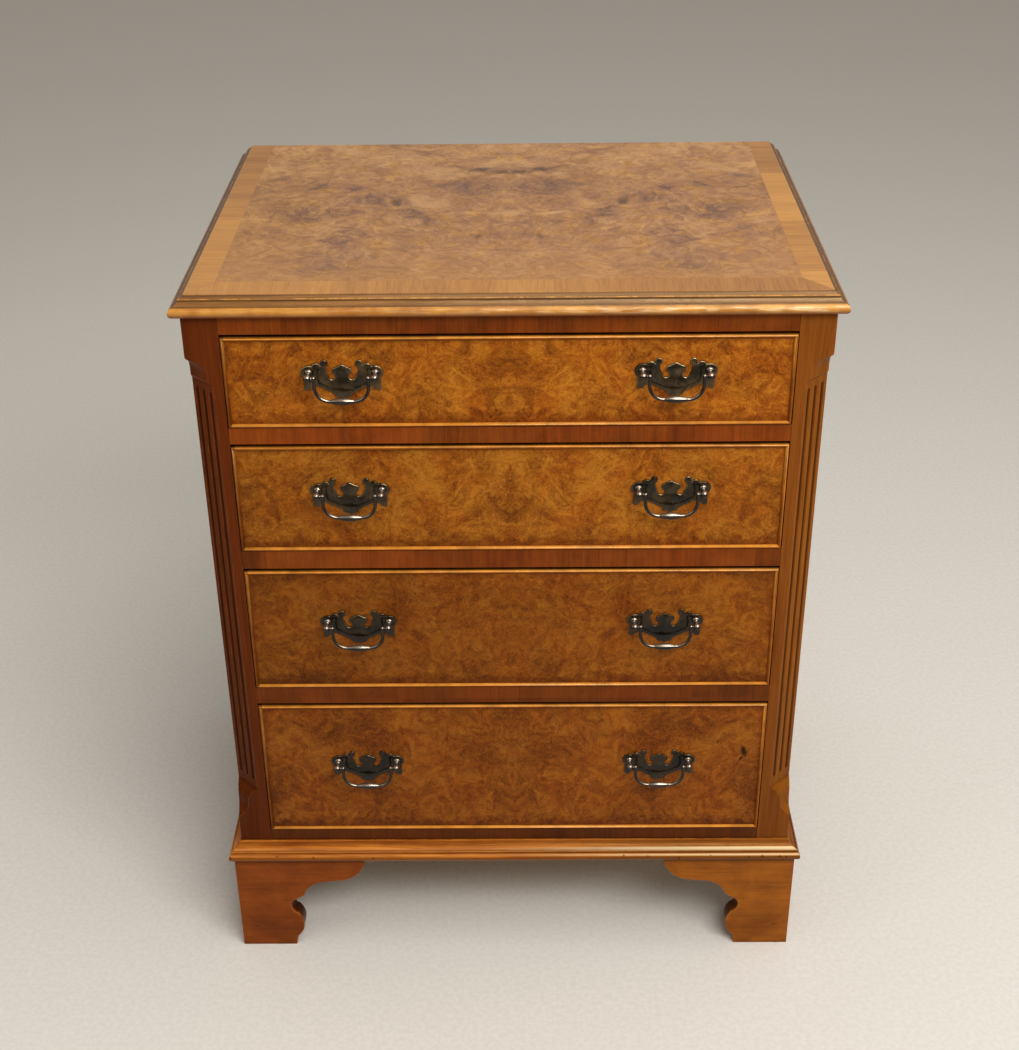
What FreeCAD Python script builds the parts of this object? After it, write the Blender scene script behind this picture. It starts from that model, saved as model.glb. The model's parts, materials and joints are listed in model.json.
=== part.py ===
"""Walnut bachelor's chest of four graduated drawers on bracket feet.

Millimetres, +Z up, the front faces -Y. The origin is on the floor, in the middle of the footprint.
Case pieces are drawn from the case front (y = 0) and drawer pieces from their own lower front edge,
and each is then placed from the sheet.
"""
import FreeCAD
import Part
import Sketcher
import math
import os
import re

from FreeCAD import Vector

DRIVING = (
    # case
    ("case_width", 592, "over the side panels"),
    ("case_depth", 448.5, "case front to the back of the chest"),
    ("side_thickness", 16, "side panels"),
    ("back_thickness", 6, "back panel"),
    ("back_rebate", 8, "width of the rebate that takes the back panel"),
    ("post_width", 33, "corner post, from the drawer opening to the side"),
    ("post_depth", 44, "corner post, front to back"),
    ("cant_width", 23.2, "cant across the front of the post"),
    ("cant_depth", 22.5, "cant across the side of the post"),
    ("frieze_height", 18.4, "rail over the top drawer"),
    ("rail_1_height", 17.1, "rail under the top drawer"),
    ("rail_2_height", 20.2, "rail under the second drawer"),
    ("rail_3_height", 20, "rail over the lowest drawer"),
    ("bottom_rail_height", 36.1, "rail under the lowest drawer"),
    ("rail_depth", 44, "rails, front to back"),
    ("bottom_board_thickness", 8, "board that closes the bottom"),
    # top
    ("top_thickness", 19.5, "top board and its moulding"),
    ("top_setback", 4, "case face to the edge of the veneered board"),
    ("top_moulding_width", 13.2, "board edge to the nose"),
    # cant stops and flutes
    ("upper_stop_margin", 40.4, "underside of the top to the upper stop"),
    ("upper_stop_height", 29.5, "upper lamb's-tongue stop"),
    ("lower_stop_margin", 52.5, "bottom of the case to the lower stop"),
    ("lower_stop_height", 39, "lower lamb's-tongue stop"),
    ("flute_pitch", 10.3, "between the three flutes"),
    ("flute_radius", 2.5, "flute section"),
    ("flute_sink", 1.9, "flute depth"),
    ("upper_flute_margin", 7, "upper stop to the flutes"),
    ("lower_flute_margin", 10, "lower stop to the flutes"),
    # base
    ("foot_height", 124, "floor to the underside of the base moulding"),
    ("base_projection", 13.5, "base moulding beyond the case"),
    ("base_moulding_height", 22, "base moulding"),
    ("foot_setback", 5.1, "foot behind the nose of the base moulding"),
    ("bracket_thickness", 18, "bracket facings"),
    ("foot_length", 142, "bracket along the base moulding"),
    ("rear_bracket_length", 92, "plain bracket across the back of a rear foot"),
    ("glue_block", 36, "side of the glue block in each foot"),
    ("block_lift", 3, "glue block above the floor"),
    # drawers
    ("drawer_1_height", 90.5, "top drawer front over its bead"),
    ("drawer_2_height", 113, "second drawer front over its bead"),
    ("drawer_3_height", 139, "third drawer front over its bead"),
    ("drawer_4_height", 164, "lowest drawer front over its bead"),
    ("drawer_gap", 1, "beside and below a drawer front in its opening"),
    ("drawer_top_gap", 2.8, "above a drawer front in its opening"),
    ("front_thickness", 18, "drawer front"),
    ("front_lap", 6, "front left before the dovetails, and depth of the bead's rebate"),
    ("drawer_side_thickness", 9, "drawer sides and back"),
    ("drawer_side_drop", 6, "top of the sides below the top of the front"),
    ("drawer_back_space", 10, "drawer to the back panel"),
    ("drawer_bottom_thickness", 6, "drawer bottom"),
    ("drawer_bottom_rise", 8, "drawer bottom above the lower edge of the drawer"),
    ("groove_depth", 4.5, "groove for the drawer bottom"),
    ("dovetail_pitch", 36, "nearest spacing of the dovetails"),
    ("dovetail_pin", 12, "pin between two tails, at its wide end"),
    ("dovetail_taper", 2, "narrowing of a pin on each side"),
    ("bead_thickness", 3.4, "cockbead"),
    ("bead_proud", 2.2, "cockbead beyond the drawer front"),
    ("slide_clearance", 0.3, "drawer over its runners and before its stops"),
    ("runner_thickness", 14, "runner under a drawer side"),
    ("runner_width", 40, "runner, from the side panel inwards"),
    ("guide_height", 16, "guide beside a drawer"),
    ("stop_width", 30, "drawer stop"),
    ("stop_depth", 14, "drawer stop, front to back"),
    ("stop_height", 5, "drawer stop above the rail"),
    ("stop_offset", 120, "drawer stop from the middle"),
    # handles
    ("handle_offset", 153, "handle from the middle of a drawer"),
    ("handle_rise", 10, "bail axis above the middle of the drawer front"),
    ("post_spacing", 61.5, "handle posts"),
    ("hinge_reach", 13, "drawer front to the bail axis"),
    ("plate_thickness", 1.6, "backplate"),
    ("head_radius", 3.6, "ball head of a handle post"),
    ("neck_radius", 1.9, "neck of a handle post"),
    ("rosette_radius", 4.2, "domed foot of a handle post"),
    ("rosette_height", 2.6, "domed foot of a handle post"),
    ("shank_radius", 2, "threaded shank through the drawer front"),
    ("shank_clearance", 0.1, "hole round a shank"),
    ("nut_flats", 8, "nut across flats"),
    ("nut_thickness", 4, "nut"),
    ("shank_tail", 2, "shank beyond its nut"),
    ("bail_radius", 1.7, "bail wire"),
    ("bail_drop", 23.3, "bail axis to the middle of the grip"),
    ("bail_corner", 14, "bend between leg and grip"),
    ("swell_radius", 3.4, "thickest part of the grip"),
    ("knuckle_radius", 2, "ball at the top of a bail leg"),
    ("knuckle_gap", 0.3, "knuckle to the post head"),
    ("pin_radius", 1.3, "bail pin in the post head"),
    ("pin_clearance", 0.05, "bore round a bail pin"),
    ("pin_reach", 2, "bail pin beyond the middle of the post head"),
)

DERIVED = (
    ("half_case", "case_width / 2"),
    ("opening_half", "half_case - post_width"),
    ("drawer_half", "opening_half - drawer_gap"),
    ("side_inner", "half_case - side_thickness"),
    ("back_front", "case_depth - back_thickness"),
    ("handle_reach", "hinge_reach + head_radius"),
    ("front_reach", "max(handle_reach; base_projection)"),
    ("front_y", "(front_reach - case_depth) / 2"),
    ("drawer_4_z", "foot_height + bottom_rail_height + drawer_gap"),
    ("drawer_3_z", "drawer_4_z + drawer_4_height + drawer_top_gap + rail_3_height + drawer_gap"),
    ("drawer_2_z", "drawer_3_z + drawer_3_height + drawer_top_gap + rail_2_height + drawer_gap"),
    ("drawer_1_z", "drawer_2_z + drawer_2_height + drawer_top_gap + rail_1_height + drawer_gap"),
    ("frieze_z", "drawer_1_z + drawer_1_height + drawer_top_gap"),
    ("top_z", "frieze_z + frieze_height"),
    ("case_height", "top_z - foot_height"),
    ("board_half", "half_case - top_setback"),
    ("drawer_length", "back_front - drawer_back_space"),
    ("rail_back", "max(rail_depth; post_depth)"),
    ("bottom_top", "drawer_bottom_rise + drawer_bottom_thickness"),
    ("foot_half", "half_case + base_projection - foot_setback"),
    ("foot_front", "foot_setback - base_projection"),
)

DRAWERS = (1, 2, 3, 4)
SIDES = (("left", -1), ("right", 1))
DRAWN_POST_SPACING = 61.5  # the backplate outline below is drawn for posts this far apart
UP = Vector(0, 0, 1)
VIA = "middle point of an arc"
BEHIND_RAILS = ("rail_back", "back_front - rail_back")

# Half of the pierced backplate, from the top centre round to the bottom centre: distance from the
# middle and height above the bail axis.
PLATE_OUTLINE = (
    (0, 8.7), (-3.2, 7, VIA), (-6, 5.6), (-9.2, 2.8, VIA), (-7.6, -0.8),
    (-9.8, -6.2, VIA), (-12, -3.8), (-14.9, 2.6), (-14.6, 6.5),
    (-14.3, 12.55, VIA), (-19.1, 8.2), (-19.4, 7.6),
    (-23.3, 9.8, VIA), (-27.6, 6.9), (-32.4, 7.1, VIA), (-36.8, 4.3),
    (-38.1, 1.2, VIA), (-35.8, -4.6), (-35.6, -10.6), (-35.4, -16.9),
    (-31.8, -17.4, VIA), (-28.4, -14.2), (-23.6, -12.6), (-16, -16.4, VIA), (-8.6, -20.4),
    (-6.6, -24), (-3, -24.6, VIA), (0, -26),
)

# Mouldings in section, from the lower inner corner: share of the projection, share of the height.
TOP_PROFILE = (
    (0, 0), (0.65, 0), (1, 0.26, VIA), (0.727, 0.52), (0.727, 0.545), (0.65, 0.56), (0.5, 0.615, VIA),
    (0.38, 0.74), (0.38, 0.82), (0.303, 0.83), (0.18, 0.88, VIA), (0, 0.955),
)
BASE_PROFILE = (
    (0, 0), (0.75, 0), (1, 0.24, VIA), (0.72, 0.47), (0.72, 0.52), (0.8, 0.52), (0.8, 0.615),
    (0.361, 0.705, VIA), (0.104, 0.94), (0.104, 1), (0, 1),
)

# Ogee bracket square on, from its outer edge at the floor: share of the length, share of the height.
BRACKET = (
    (0, 0), (0.419, 0), (0.43, 0.095), (0.492, 0.25, VIA), (0.451, 0.375), (0.403, 0.456, VIA),
    (0.437, 0.532), (0.511, 0.585), (0.556, 0.68, VIA), (0.645, 0.734), (0.789, 0.753),
    (0.923, 0.815, VIA), (1, 0.968), (1, 1), (0, 1),
)
PLAIN_BRACKET = ((0, 0), (0.37, 0), (1, 0.84), (1, 1), (0, 1))

# Stops of the cant, from the square post to the full cant: share of the cant's depth, share of the
# stop's height.
UPPER_STOP = ((0, 0), (0.12, 0.1), (0.62, 0.32, VIA), (0.8, 0.62), (0.81, 0.86), (0.95, 0.97), (1, 0.97))
LOWER_STOP = ((0, 0), (0.38, 0.25), (0.49, 0.38, VIA), (0.53, 0.56), (0.57, 0.68), (0.68, 0.82, VIA),
              (0.95, 0.97), (1, 0.97))

doc = FreeCAD.newDocument("bachelors_chest")
sheet = doc.addObject("Spreadsheet::Sheet", "Sizes")
nodes = []


# ---------------------------------------------------------------- sheet and small helpers

def fill_sheet():
    """Write the driving sizes as numbers and what follows from them as formulas."""
    rows = [(name, str(value), note) for name, value, note in DRIVING]
    rows += [(name, "=" + formula, "follows") for name, formula in DERIVED]
    for row, (name, text, note) in enumerate(rows, start=1):
        sheet.set(f"A{row}", name)
        sheet.set(f"B{row}", text)
        sheet.setAlias(f"B{row}", name)
        sheet.set(f"C{row}", note)
    doc.recompute()


def size(name):
    """The sheet's value of one size."""
    return float(sheet.get(name))


def bound(formula):
    """A formula in the sheet's words as an expression of the document."""
    return re.sub(r"[a-z]\w*", lambda word: "Sizes." + word.group(), formula)


def node(piece, label):
    """Register a finished sub-part under its name."""
    piece.Label = label
    nodes.append(piece)
    return piece


def place(piece, x="0", y="front_y", z="0"):
    """Bind a piece's place to the sheet."""
    for axis, formula in zip("xyz", (x, y, z)):
        piece.setExpression(f"Placement.Base.{axis}", bound(formula))


def board(name, x, y, z, origin="front_y + "):
    """A square-edged board: x, y and z are each (start, length), in the sheet's words."""
    box = doc.addObject("Part::Box", name)
    for side, (start, length) in zip(("Length", "Width", "Height"), (x, y, z)):
        box.setExpression(side, bound(length))
    place(box, x[0], origin + y[0], z[0])
    return box


def cut(name, base, tool):
    """What is left of one piece when another is let into it."""
    piece = doc.addObject("Part::Cut", name)
    piece.Base = base
    piece.Tool = tool
    return piece


def grouped(name, pieces):
    """One sub-part of several separate solids."""
    piece = doc.addObject("Part::Compound", name)
    piece.Links = pieces
    return piece


def shaped(name, shape, x="0", y="front_y", z="0"):
    """A piece whose shape is worked out below, placed from the sheet."""
    piece = doc.addObject("Part::Feature", name)
    piece.Shape = shape
    place(piece, x, y, z)
    return piece


def outline_wire(points, at, closed=True):
    """Wire through points (u, v); a point (u, v, VIA) makes an arc between its two neighbours."""
    route = list(points) + [points[0]] if closed else list(points)
    spots = [at(*point[:2]) for point in route]
    edges = []
    index = 0
    while index < len(route) - 1:
        if len(route[index + 1]) == 3:
            edges.append(Part.Arc(spots[index], spots[index + 1], spots[index + 2]).toShape())
            index += 2
        else:
            edges.append(Part.LineSegment(spots[index], spots[index + 1]).toShape())
            index += 1
    return Part.Wire(edges)


def scaled(points, width, high, start=0):
    """Outline drawn in shares, brought to its size and raised to its start."""
    return [(point[0] * width, start + point[1] * high) + point[2:] for point in points]


def prism(points, at, sweep):
    """Solid of an outline carried along a vector."""
    return Part.Face(outline_wire(points, at)).extrude(sweep)


def mitred_run(profile, corner, along, outward, rise, length, mitre_start, mitre_end):
    """Moulding whose inner line starts at a corner; a mitred end runs out to meet its neighbour."""
    reach = max(point[0] for point in profile)
    low = min(point[1] for point in profile)
    high = max(point[1] for point in profile)
    before = reach if mitre_start else 0
    after = reach if mitre_end else 0
    bar = prism(profile, lambda u, v: corner + outward * u + rise * v - along * before,
                along * (length + before + after))
    plan = ((0, 0), (length, 0), (length + after, reach), (-before, reach))
    wedge = prism(plan, lambda u, v: corner + along * u + outward * v + rise * low, rise * (high - low))
    return bar.common(wedge)


# ---------------------------------------------------------------- case

def make_top():
    """Veneered board and the moulding glued round its front and sides."""
    node(board("top_board", ("-board_half", "2 * board_half"), ("top_setback", "case_depth - top_setback"),
               ("top_z", "top_thickness")), "top_board")
    profile = scaled(TOP_PROFILE, size("top_moulding_width"), size("top_thickness"))
    half = size("board_half")
    setback = size("top_setback")
    corner = {sign: Vector(sign * half, setback, 0) for _, sign in SIDES}
    front = mitred_run(profile, corner[-1], Vector(1, 0, 0), Vector(0, -1, 0), UP, 2 * half, True, True)
    node(shaped("top_moulding_front", front, z="top_z"), "top_moulding_front")
    for side, sign in SIDES:
        run = mitred_run(profile, corner[sign], Vector(0, 1, 0), Vector(sign, 0, 0), UP,
                         size("case_depth") - setback, True, False)
        node(shaped("top_moulding_" + side, run, z="top_z"), "top_moulding_" + side)


def make_panels():
    """Back panel, and the side panels rebated for it."""
    back = board("back_panel", ("back_rebate - half_case", "2 * (half_case - back_rebate)"),
                 ("back_front", "back_thickness"), ("foot_height", "case_height"))
    node(back, "back_panel")
    for side, start in (("left", "-half_case"), ("right", "side_inner")):
        blank = board(f"side_{side}_blank", (start, "side_thickness"),
                      ("post_depth", "case_depth - post_depth"), ("foot_height", "case_height"))
        node(cut("side_panel_" + side, blank, back), "side_panel_" + side)


def cant_cutter(sign):
    """What is planed off a post: the cant with its two stops, and three flutes."""
    width = size("cant_width")
    deep = size("cant_depth")
    length = math.hypot(width, deep)
    depth = width * deep / length
    arris = Vector(sign * size("half_case"), 0, 0)
    along = Vector(sign * width, deep, 0) / length
    inward = Vector(-sign * deep, width, 0) / length
    lower = size("lower_stop_margin")
    upper = size("case_height") - size("upper_stop_margin")
    profile = [(-depth, lower)] + scaled(LOWER_STOP, depth, size("lower_stop_height"), lower)
    profile += reversed(scaled(UPPER_STOP, depth, -size("upper_stop_height"), upper))
    profile.append((-depth, upper))
    cutter = prism(profile, lambda t, v: arris - along * length + inward * t + UP * v, along * 2 * length)

    radius = size("flute_radius")
    bottom = lower + size("lower_stop_height") + size("lower_flute_margin") + radius
    top = upper - size("upper_stop_height") - size("upper_flute_margin") - radius
    middle = Vector(sign * (size("half_case") - width / 2), deep / 2, bottom)
    middle -= inward * (radius - size("flute_sink"))
    for step in (-1, 0, 1):
        foot = middle + along * step * size("flute_pitch")
        flute = Part.makeCylinder(radius, top - bottom, foot, UP)
        for end in (foot, foot + UP * (top - bottom)):
            flute = flute.fuse(Part.makeSphere(radius, end))
        cutter = cutter.fuse(flute)
    return cutter


def make_posts():
    """Front corner posts, planed to a fluted cant."""
    for side, sign in SIDES:
        start = "-half_case" if sign < 0 else "opening_half"
        blank = board(f"post_{side}_blank", (start, "post_width"), ("0", "post_depth"),
                      ("foot_height", "case_height"))
        cutter = shaped(f"cant_{side}", cant_cutter(sign), z="foot_height")
        node(cut("corner_post_" + side, blank, cutter), "corner_post_" + side)


def make_rails():
    """Rails between the posts, and the board that closes the bottom."""
    across = ("-opening_half", "2 * opening_half")
    deep = ("0", "rail_depth")
    node(board("frieze_rail", across, deep, ("frieze_z", "frieze_height")), "frieze_rail")
    for number in DRAWERS[:-1]:
        high = f"rail_{number}_height"
        start = f"drawer_{number}_z - drawer_gap - {high}"
        node(board(f"drawer_rail_{number}", across, deep, (start, high)), f"drawer_rail_{number}")
    node(board("bottom_rail", across, deep, ("foot_height", "bottom_rail_height")), "bottom_rail")
    start = "drawer_4_z - slide_clearance - runner_thickness - bottom_board_thickness"
    node(board("bottom_board", ("-side_inner", "2 * side_inner"), BEHIND_RAILS,
               (start, "bottom_board_thickness")), "bottom_board")


def make_runners():
    """Runner with its side guide at each end of each drawer, and kickers under the top."""
    pieces = []
    for side, sign in SIDES:
        tread_x = "-side_inner" if sign < 0 else "side_inner - runner_width"
        guide_x = "-side_inner" if sign < 0 else "opening_half"
        for number in DRAWERS:
            bearing = f"drawer_{number}_z - slide_clearance"
            pieces.append(board(f"tread_{side}_{number}", (tread_x, "runner_width"), BEHIND_RAILS,
                                (bearing + " - runner_thickness", "runner_thickness")))
            pieces.append(board(f"guide_{side}_{number}", (guide_x, "side_inner - opening_half"),
                                BEHIND_RAILS, (bearing, "guide_height")))
        pieces.append(board(f"kicker_{side}", (tread_x, "runner_width"), BEHIND_RAILS,
                            ("frieze_z", "frieze_height")))
    node(grouped("drawer_runners", pieces), "drawer_runners")


def make_stops():
    """Two small blocks behind each drawer front, glued to the rail under it."""
    pieces = []
    for number in DRAWERS:
        for side, sign in SIDES:
            across = (f"{sign} * stop_offset - stop_width / 2", "stop_width")
            pieces.append(board(f"stop_{side}_{number}", across,
                                ("front_thickness + slide_clearance", "stop_depth"),
                                (f"drawer_{number}_z - drawer_gap", "stop_height")))
    node(grouped("drawer_stops", pieces), "drawer_stops")


# ---------------------------------------------------------------- base

def make_base_moulding():
    """Cavetto over a bead, planted round the foot of the case."""
    profile = scaled(BASE_PROFILE, size("base_projection"), size("base_moulding_height"))
    half = size("half_case")
    front = mitred_run(profile, Vector(-half, 0, 0), Vector(1, 0, 0), Vector(0, -1, 0), UP, 2 * half,
                       True, True)
    node(shaped("base_moulding_front", front, z="foot_height"), "base_moulding_front")
    for side, sign in SIDES:
        run = mitred_run(profile, Vector(sign * half, 0, 0), Vector(0, 1, 0), Vector(sign, 0, 0), UP,
                         size("case_depth"), True, False)
        node(shaped("base_moulding_" + side, run, z="foot_height"), "base_moulding_" + side)


def foot_facing(corner, along, inward, mitred):
    """Bracket facing that starts at a foot's outer corner."""
    thick = size("bracket_thickness")
    outline = scaled(BRACKET, size("foot_length"), size("foot_height"))
    facing = prism(outline, lambda u, v: corner + along * u + UP * v, inward * thick)
    if mitred:
        waste = prism(((0, 0), (0, thick), (thick, thick)), lambda u, v: corner + along * u + inward * v,
                      UP * size("foot_height"))
        facing = facing.cut(waste)
    return facing


def make_feet():
    """Bracket feet: mitred ogee facings in front, one ogee facing and a plain bracket behind."""
    high = size("foot_height")
    thick = size("bracket_thickness")
    block = size("glue_block")
    lift = size("block_lift")
    rear = size("case_depth")
    for side, sign in SIDES:
        half = size("foot_half")
        outer = Vector(sign * half, size("foot_front"), 0)
        across = Vector(-sign, 0, 0)
        backward = Vector(0, 1, 0)
        core = Part.makeBox(block, block, high - lift)
        block_x = -half + thick if sign < 0 else half - thick - block
        front_core = core.translated(Vector(block_x, size("foot_front") + thick, lift))
        pieces = [foot_facing(outer, across, backward, True), foot_facing(outer, backward, across, True),
                  front_core]
        node(shaped("foot_front_" + side, Part.makeCompound(pieces)), "foot_front_" + side)

        outer = Vector(sign * half, rear, 0)
        inner = outer + across * thick
        plain = scaled(PLAIN_BRACKET, size("rear_bracket_length"), high)
        rear_core = core.translated(Vector(block_x, rear - thick - block, lift))
        pieces = [foot_facing(outer, -backward, across, False), rear_core,
                  prism(plain, lambda u, v: inner + across * u + UP * v, -backward * thick)]
        node(shaped("foot_rear_" + side, Part.makeCompound(pieces)), "foot_rear_" + side)


# ---------------------------------------------------------------- drawers

def sketch_in(body, name, role, offset):
    """Empty sketch on one of a body's own origin planes, moved along the plane's normal."""
    sketch = body.newObject("Sketcher::SketchObject", name)
    plane = [plane for plane in body.Origin.OriginFeatures if plane.Role == role][0]
    sketch.AttachmentSupport = [(plane, "")]
    sketch.MapMode = "FlatFace"
    sketch.setExpression("AttachmentOffset.Base.z", bound(offset))
    return sketch


def centred_rectangle(body, name, width, high, offset):
    """Sketch of an upright rectangle about the body's origin, bound to its width and height."""
    sketch = sketch_in(body, name, "XZ_Plane", offset)
    corners = [Vector(x, y, 0) for x, y in ((-1, -1), (1, -1), (1, 1), (-1, 1))]
    for index, corner in enumerate(corners):
        sketch.addGeometry(Part.LineSegment(corner, corners[(index + 1) % 4]))
    for index in range(4):
        sketch.addConstraint(Sketcher.Constraint("Coincident", index, 2, (index + 1) % 4, 1))
        sketch.addConstraint(Sketcher.Constraint(("Horizontal", "Vertical")[index % 2], index))
    sketch.addConstraint(Sketcher.Constraint("Symmetric", 0, 1, 2, 1, -1, 1))
    for kind, line, formula in (("DistanceX", 0, width), ("DistanceY", 1, high)):
        number = sketch.addConstraint(Sketcher.Constraint(kind, line, 1, line, 2, 2.0))
        sketch.setExpression(f"Constraints[{number}]", bound(formula))
    return sketch


def loops_sketch(body, name, loops, offset):
    """Sketch of closed outlines (y, z) seen from the side."""
    sketch = sketch_in(body, name, "YZ_Plane", offset)
    for loop in loops:
        for start, end in zip(loop, loop[1:] + loop[:1]):
            sketch.addGeometry(Part.LineSegment(Vector(*start, 0), Vector(*end, 0)))
    return sketch


def feature(body, kind, name, sketch, length, backwards=False):
    """Pad or Pocket of a sketch, its length bound to the sheet."""
    piece = body.newObject("PartDesign::" + kind, name)
    piece.Profile = sketch
    piece.setExpression("Length", bound(length))
    piece.Reversed = backwards
    return piece


def tails(low, high):
    """Dovetails of a drawer side between two heights, as outlines (y, z) from the case front."""
    count = max(2, round((high - low) / size("dovetail_pitch")))
    pitch = (high - low) / count
    root = size("dovetail_pin") / 2
    tip = root - size("dovetail_taper")
    shoulder = size("front_thickness")
    lap = size("front_lap")
    return [[(shoulder, low + pitch * step + root), (lap, low + pitch * step + tip),
             (lap, low + pitch * (step + 1) - tip), (shoulder, low + pitch * (step + 1) - root)]
            for step in range(count)]


def make_front(number, bottom):
    """Drawer front: rebated for its bead, socketed for the dovetails, drilled for the handles."""
    high = f"drawer_{number}_height"
    body = doc.addObject("PartDesign::Body", f"front_{number}_body")
    place(body, z=f"drawer_{number}_z + {high} / 2")
    backing = centred_rectangle(body, f"backing_{number}", "2 * drawer_half", high, "-front_lap")
    feature(body, "Pad", f"backing_pad_{number}", backing, "front_thickness - front_lap", True)
    field = centred_rectangle(body, f"field_{number}", "2 * (drawer_half - bead_thickness)",
                              high + " - 2 * bead_thickness", "0")
    feature(body, "Pad", f"field_pad_{number}", field, "front_lap", True)
    doc.recompute()

    half = size(high) / 2
    sockets = tails(-half, half - size("drawer_side_drop"))
    for side, sign in SIDES:
        sketch = loops_sketch(body, f"sockets_{side}_{number}", sockets, f"{sign} * drawer_half")
        feature(body, "Pocket", f"sockets_pocket_{side}_{number}", sketch, "drawer_side_thickness", sign < 0)

    holes = sketch_in(body, f"handle_holes_{number}", "XZ_Plane", "0")
    radius = size("shank_radius") + size("shank_clearance")
    for across in post_places():
        holes.addGeometry(Part.Circle(Vector(across, size("handle_rise"), 0), UP, radius))
    drilled = feature(body, "Pocket", f"handle_holes_pocket_{number}", holes, "2 * front_thickness")
    drilled.Midplane = True
    node(cut(f"drawer_{number}_front", body, bottom), f"drawer_{number}_front")


def make_sides(number, bottom):
    """The two dovetailed sides, grooved for the bottom."""
    high = size(f"drawer_{number}_height") - size("drawer_side_drop")
    shoulder = size("front_thickness")
    rear = size("drawer_length")
    outline = [(rear, 0), (rear, high), (shoulder, high)]
    for tail in reversed(tails(0, high)):
        outline += reversed(tail)
    outline.append((shoulder, 0))
    body = doc.addObject("PartDesign::Body", f"side_{number}_body")
    place(body, z=f"drawer_{number}_z")
    sketch = loops_sketch(body, f"side_outline_{number}", [outline], "-drawer_half")
    feature(body, "Pad", f"side_pad_{number}", sketch, "drawer_side_thickness")
    left = cut(f"drawer_{number}_side_left", body, bottom)
    right = doc.addObject("Part::Mirroring", f"drawer_{number}_side_right")
    right.Source = left
    right.Normal = Vector(1, 0, 0)
    node(grouped(f"drawer_{number}_sides", [left, right]), f"drawer_{number}_sides")


def make_bead(number):
    """Cockbead: four mitred strips let into the front's rebate, rounded where they stand proud."""
    thick = size("bead_thickness")
    nose = size("bead_proud") - thick / 2
    profile = ((0, -size("front_lap")), (thick, -size("front_lap")), (thick, nose),
               (thick / 2, size("bead_proud"), VIA), (0, nose))
    half = size("drawer_half") - thick
    rise = size(f"drawer_{number}_height") / 2 - thick
    corners = [Vector(x * half, 0, z * rise) for x, z in ((-1, -1), (1, -1), (1, 1), (-1, 1))]
    proud = Vector(0, -1, 0)
    strips = []
    for start, end in zip(corners, corners[1:] + corners[:1]):
        along = (end - start).normalize()
        strips.append(mitred_run(profile, start, along, along.cross(proud), proud, start.distanceToPoint(end),
                                 True, True))
    piece = shaped(f"drawer_{number}_cockbead", Part.makeCompound(strips),
                   z=f"drawer_{number}_z + drawer_{number}_height / 2")
    node(piece, f"drawer_{number}_cockbead")


def make_drawer(number):
    """Box, front, bead and handles of one drawer."""
    base = f"drawer_{number}_z"
    bottom = board(f"drawer_{number}_bottom",
                   ("drawer_side_thickness - groove_depth - drawer_half",
                    "2 * (drawer_half - drawer_side_thickness + groove_depth)"),
                   ("front_thickness - groove_depth", "drawer_length - front_thickness + groove_depth"),
                   (base + " + drawer_bottom_rise", "drawer_bottom_thickness"))
    node(bottom, f"drawer_{number}_bottom")
    back = board(f"drawer_{number}_back",
                 ("drawer_side_thickness - drawer_half", "2 * (drawer_half - drawer_side_thickness)"),
                 ("drawer_length - drawer_side_thickness", "drawer_side_thickness"),
                 (base + " + bottom_top", f"drawer_{number}_height - drawer_side_drop - bottom_top"))
    node(back, f"drawer_{number}_back")
    make_front(number, bottom)
    make_sides(number, bottom)
    make_bead(number)
    make_handles(number)


# ---------------------------------------------------------------- handles

def post_places():
    """Distances from the middle of a drawer to its four handle posts."""
    return [sign * size("handle_offset") + end * size("post_spacing") / 2
            for _, sign in SIDES for _, end in SIDES]


def plate_shape():
    """Pierced bat-wing backplate with holes for its posts, about the middle of the bail axis."""
    spread = size("post_spacing") / DRAWN_POST_SPACING
    half = [(point[0] * spread,) + point[1:] for point in PLATE_OUTLINE]
    mirrored = [(-point[0],) + point[1:] for point in reversed(half[1:-1])]
    plate = prism(half + mirrored, lambda u, v: Vector(u, 0, v), Vector(0, -size("plate_thickness"), 0))
    for _, sign in SIDES:
        hole = Part.makeCylinder(size("shank_radius") + size("shank_clearance"), size("plate_thickness"),
                                 Vector(sign * size("post_spacing") / 2, 0, 0), Vector(0, -1, 0))
        plate = plate.cut(hole)
    return plate


def post_shape(inner):
    """Turned handle post: ball head bored from its inner side, neck, domed foot and shank."""
    plate = size("plate_thickness")
    head = size("head_radius")
    neck = size("neck_radius")
    shank = size("shank_radius")
    dome = size("rosette_radius")
    dome_top = plate + size("rosette_height")
    reach = size("hinge_reach")
    tail = size("front_thickness") + size("nut_thickness") + size("shank_tail")
    curve = math.sqrt(0.5)
    profile = (
        (-tail, 0), (-tail, shank), (plate, shank), (plate, dome),
        (plate + curve * size("rosette_height"), neck + curve * (dome - neck), VIA), (dome_top, neck),
        (reach - math.sqrt(head ** 2 - neck ** 2), neck), (reach, head, VIA), (reach + head, 0),
    )
    blank = Part.Face(outline_wire(profile, lambda out, r: Vector(r, -out, 0)))
    post = blank.revolve(Vector(0, 0, 0), Vector(0, 1, 0), 360)
    bore = Part.makeCylinder(size("pin_radius") + size("pin_clearance"),
                             2 * head + size("pin_reach") + size("knuckle_gap"),
                             Vector(inner * 2 * head, -reach, 0), Vector(-inner, 0, 0))
    return post.cut(bore)


def nut_shape():
    """Hexagon nut against the back of a drawer front."""
    corner = size("nut_flats") / math.sqrt(3)
    ring = [(corner * math.cos(math.radians(60 * step)), corner * math.sin(math.radians(60 * step)))
            for step in range(6)]
    base = size("front_thickness")
    blank = prism(ring, lambda u, v: Vector(u, base, v), Vector(0, size("nut_thickness"), 0))
    thread = Part.makeCylinder(size("shank_radius") + size("shank_clearance"), size("nut_thickness"),
                               Vector(0, base, 0), Vector(0, 1, 0))
    return blank.cut(thread)


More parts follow.
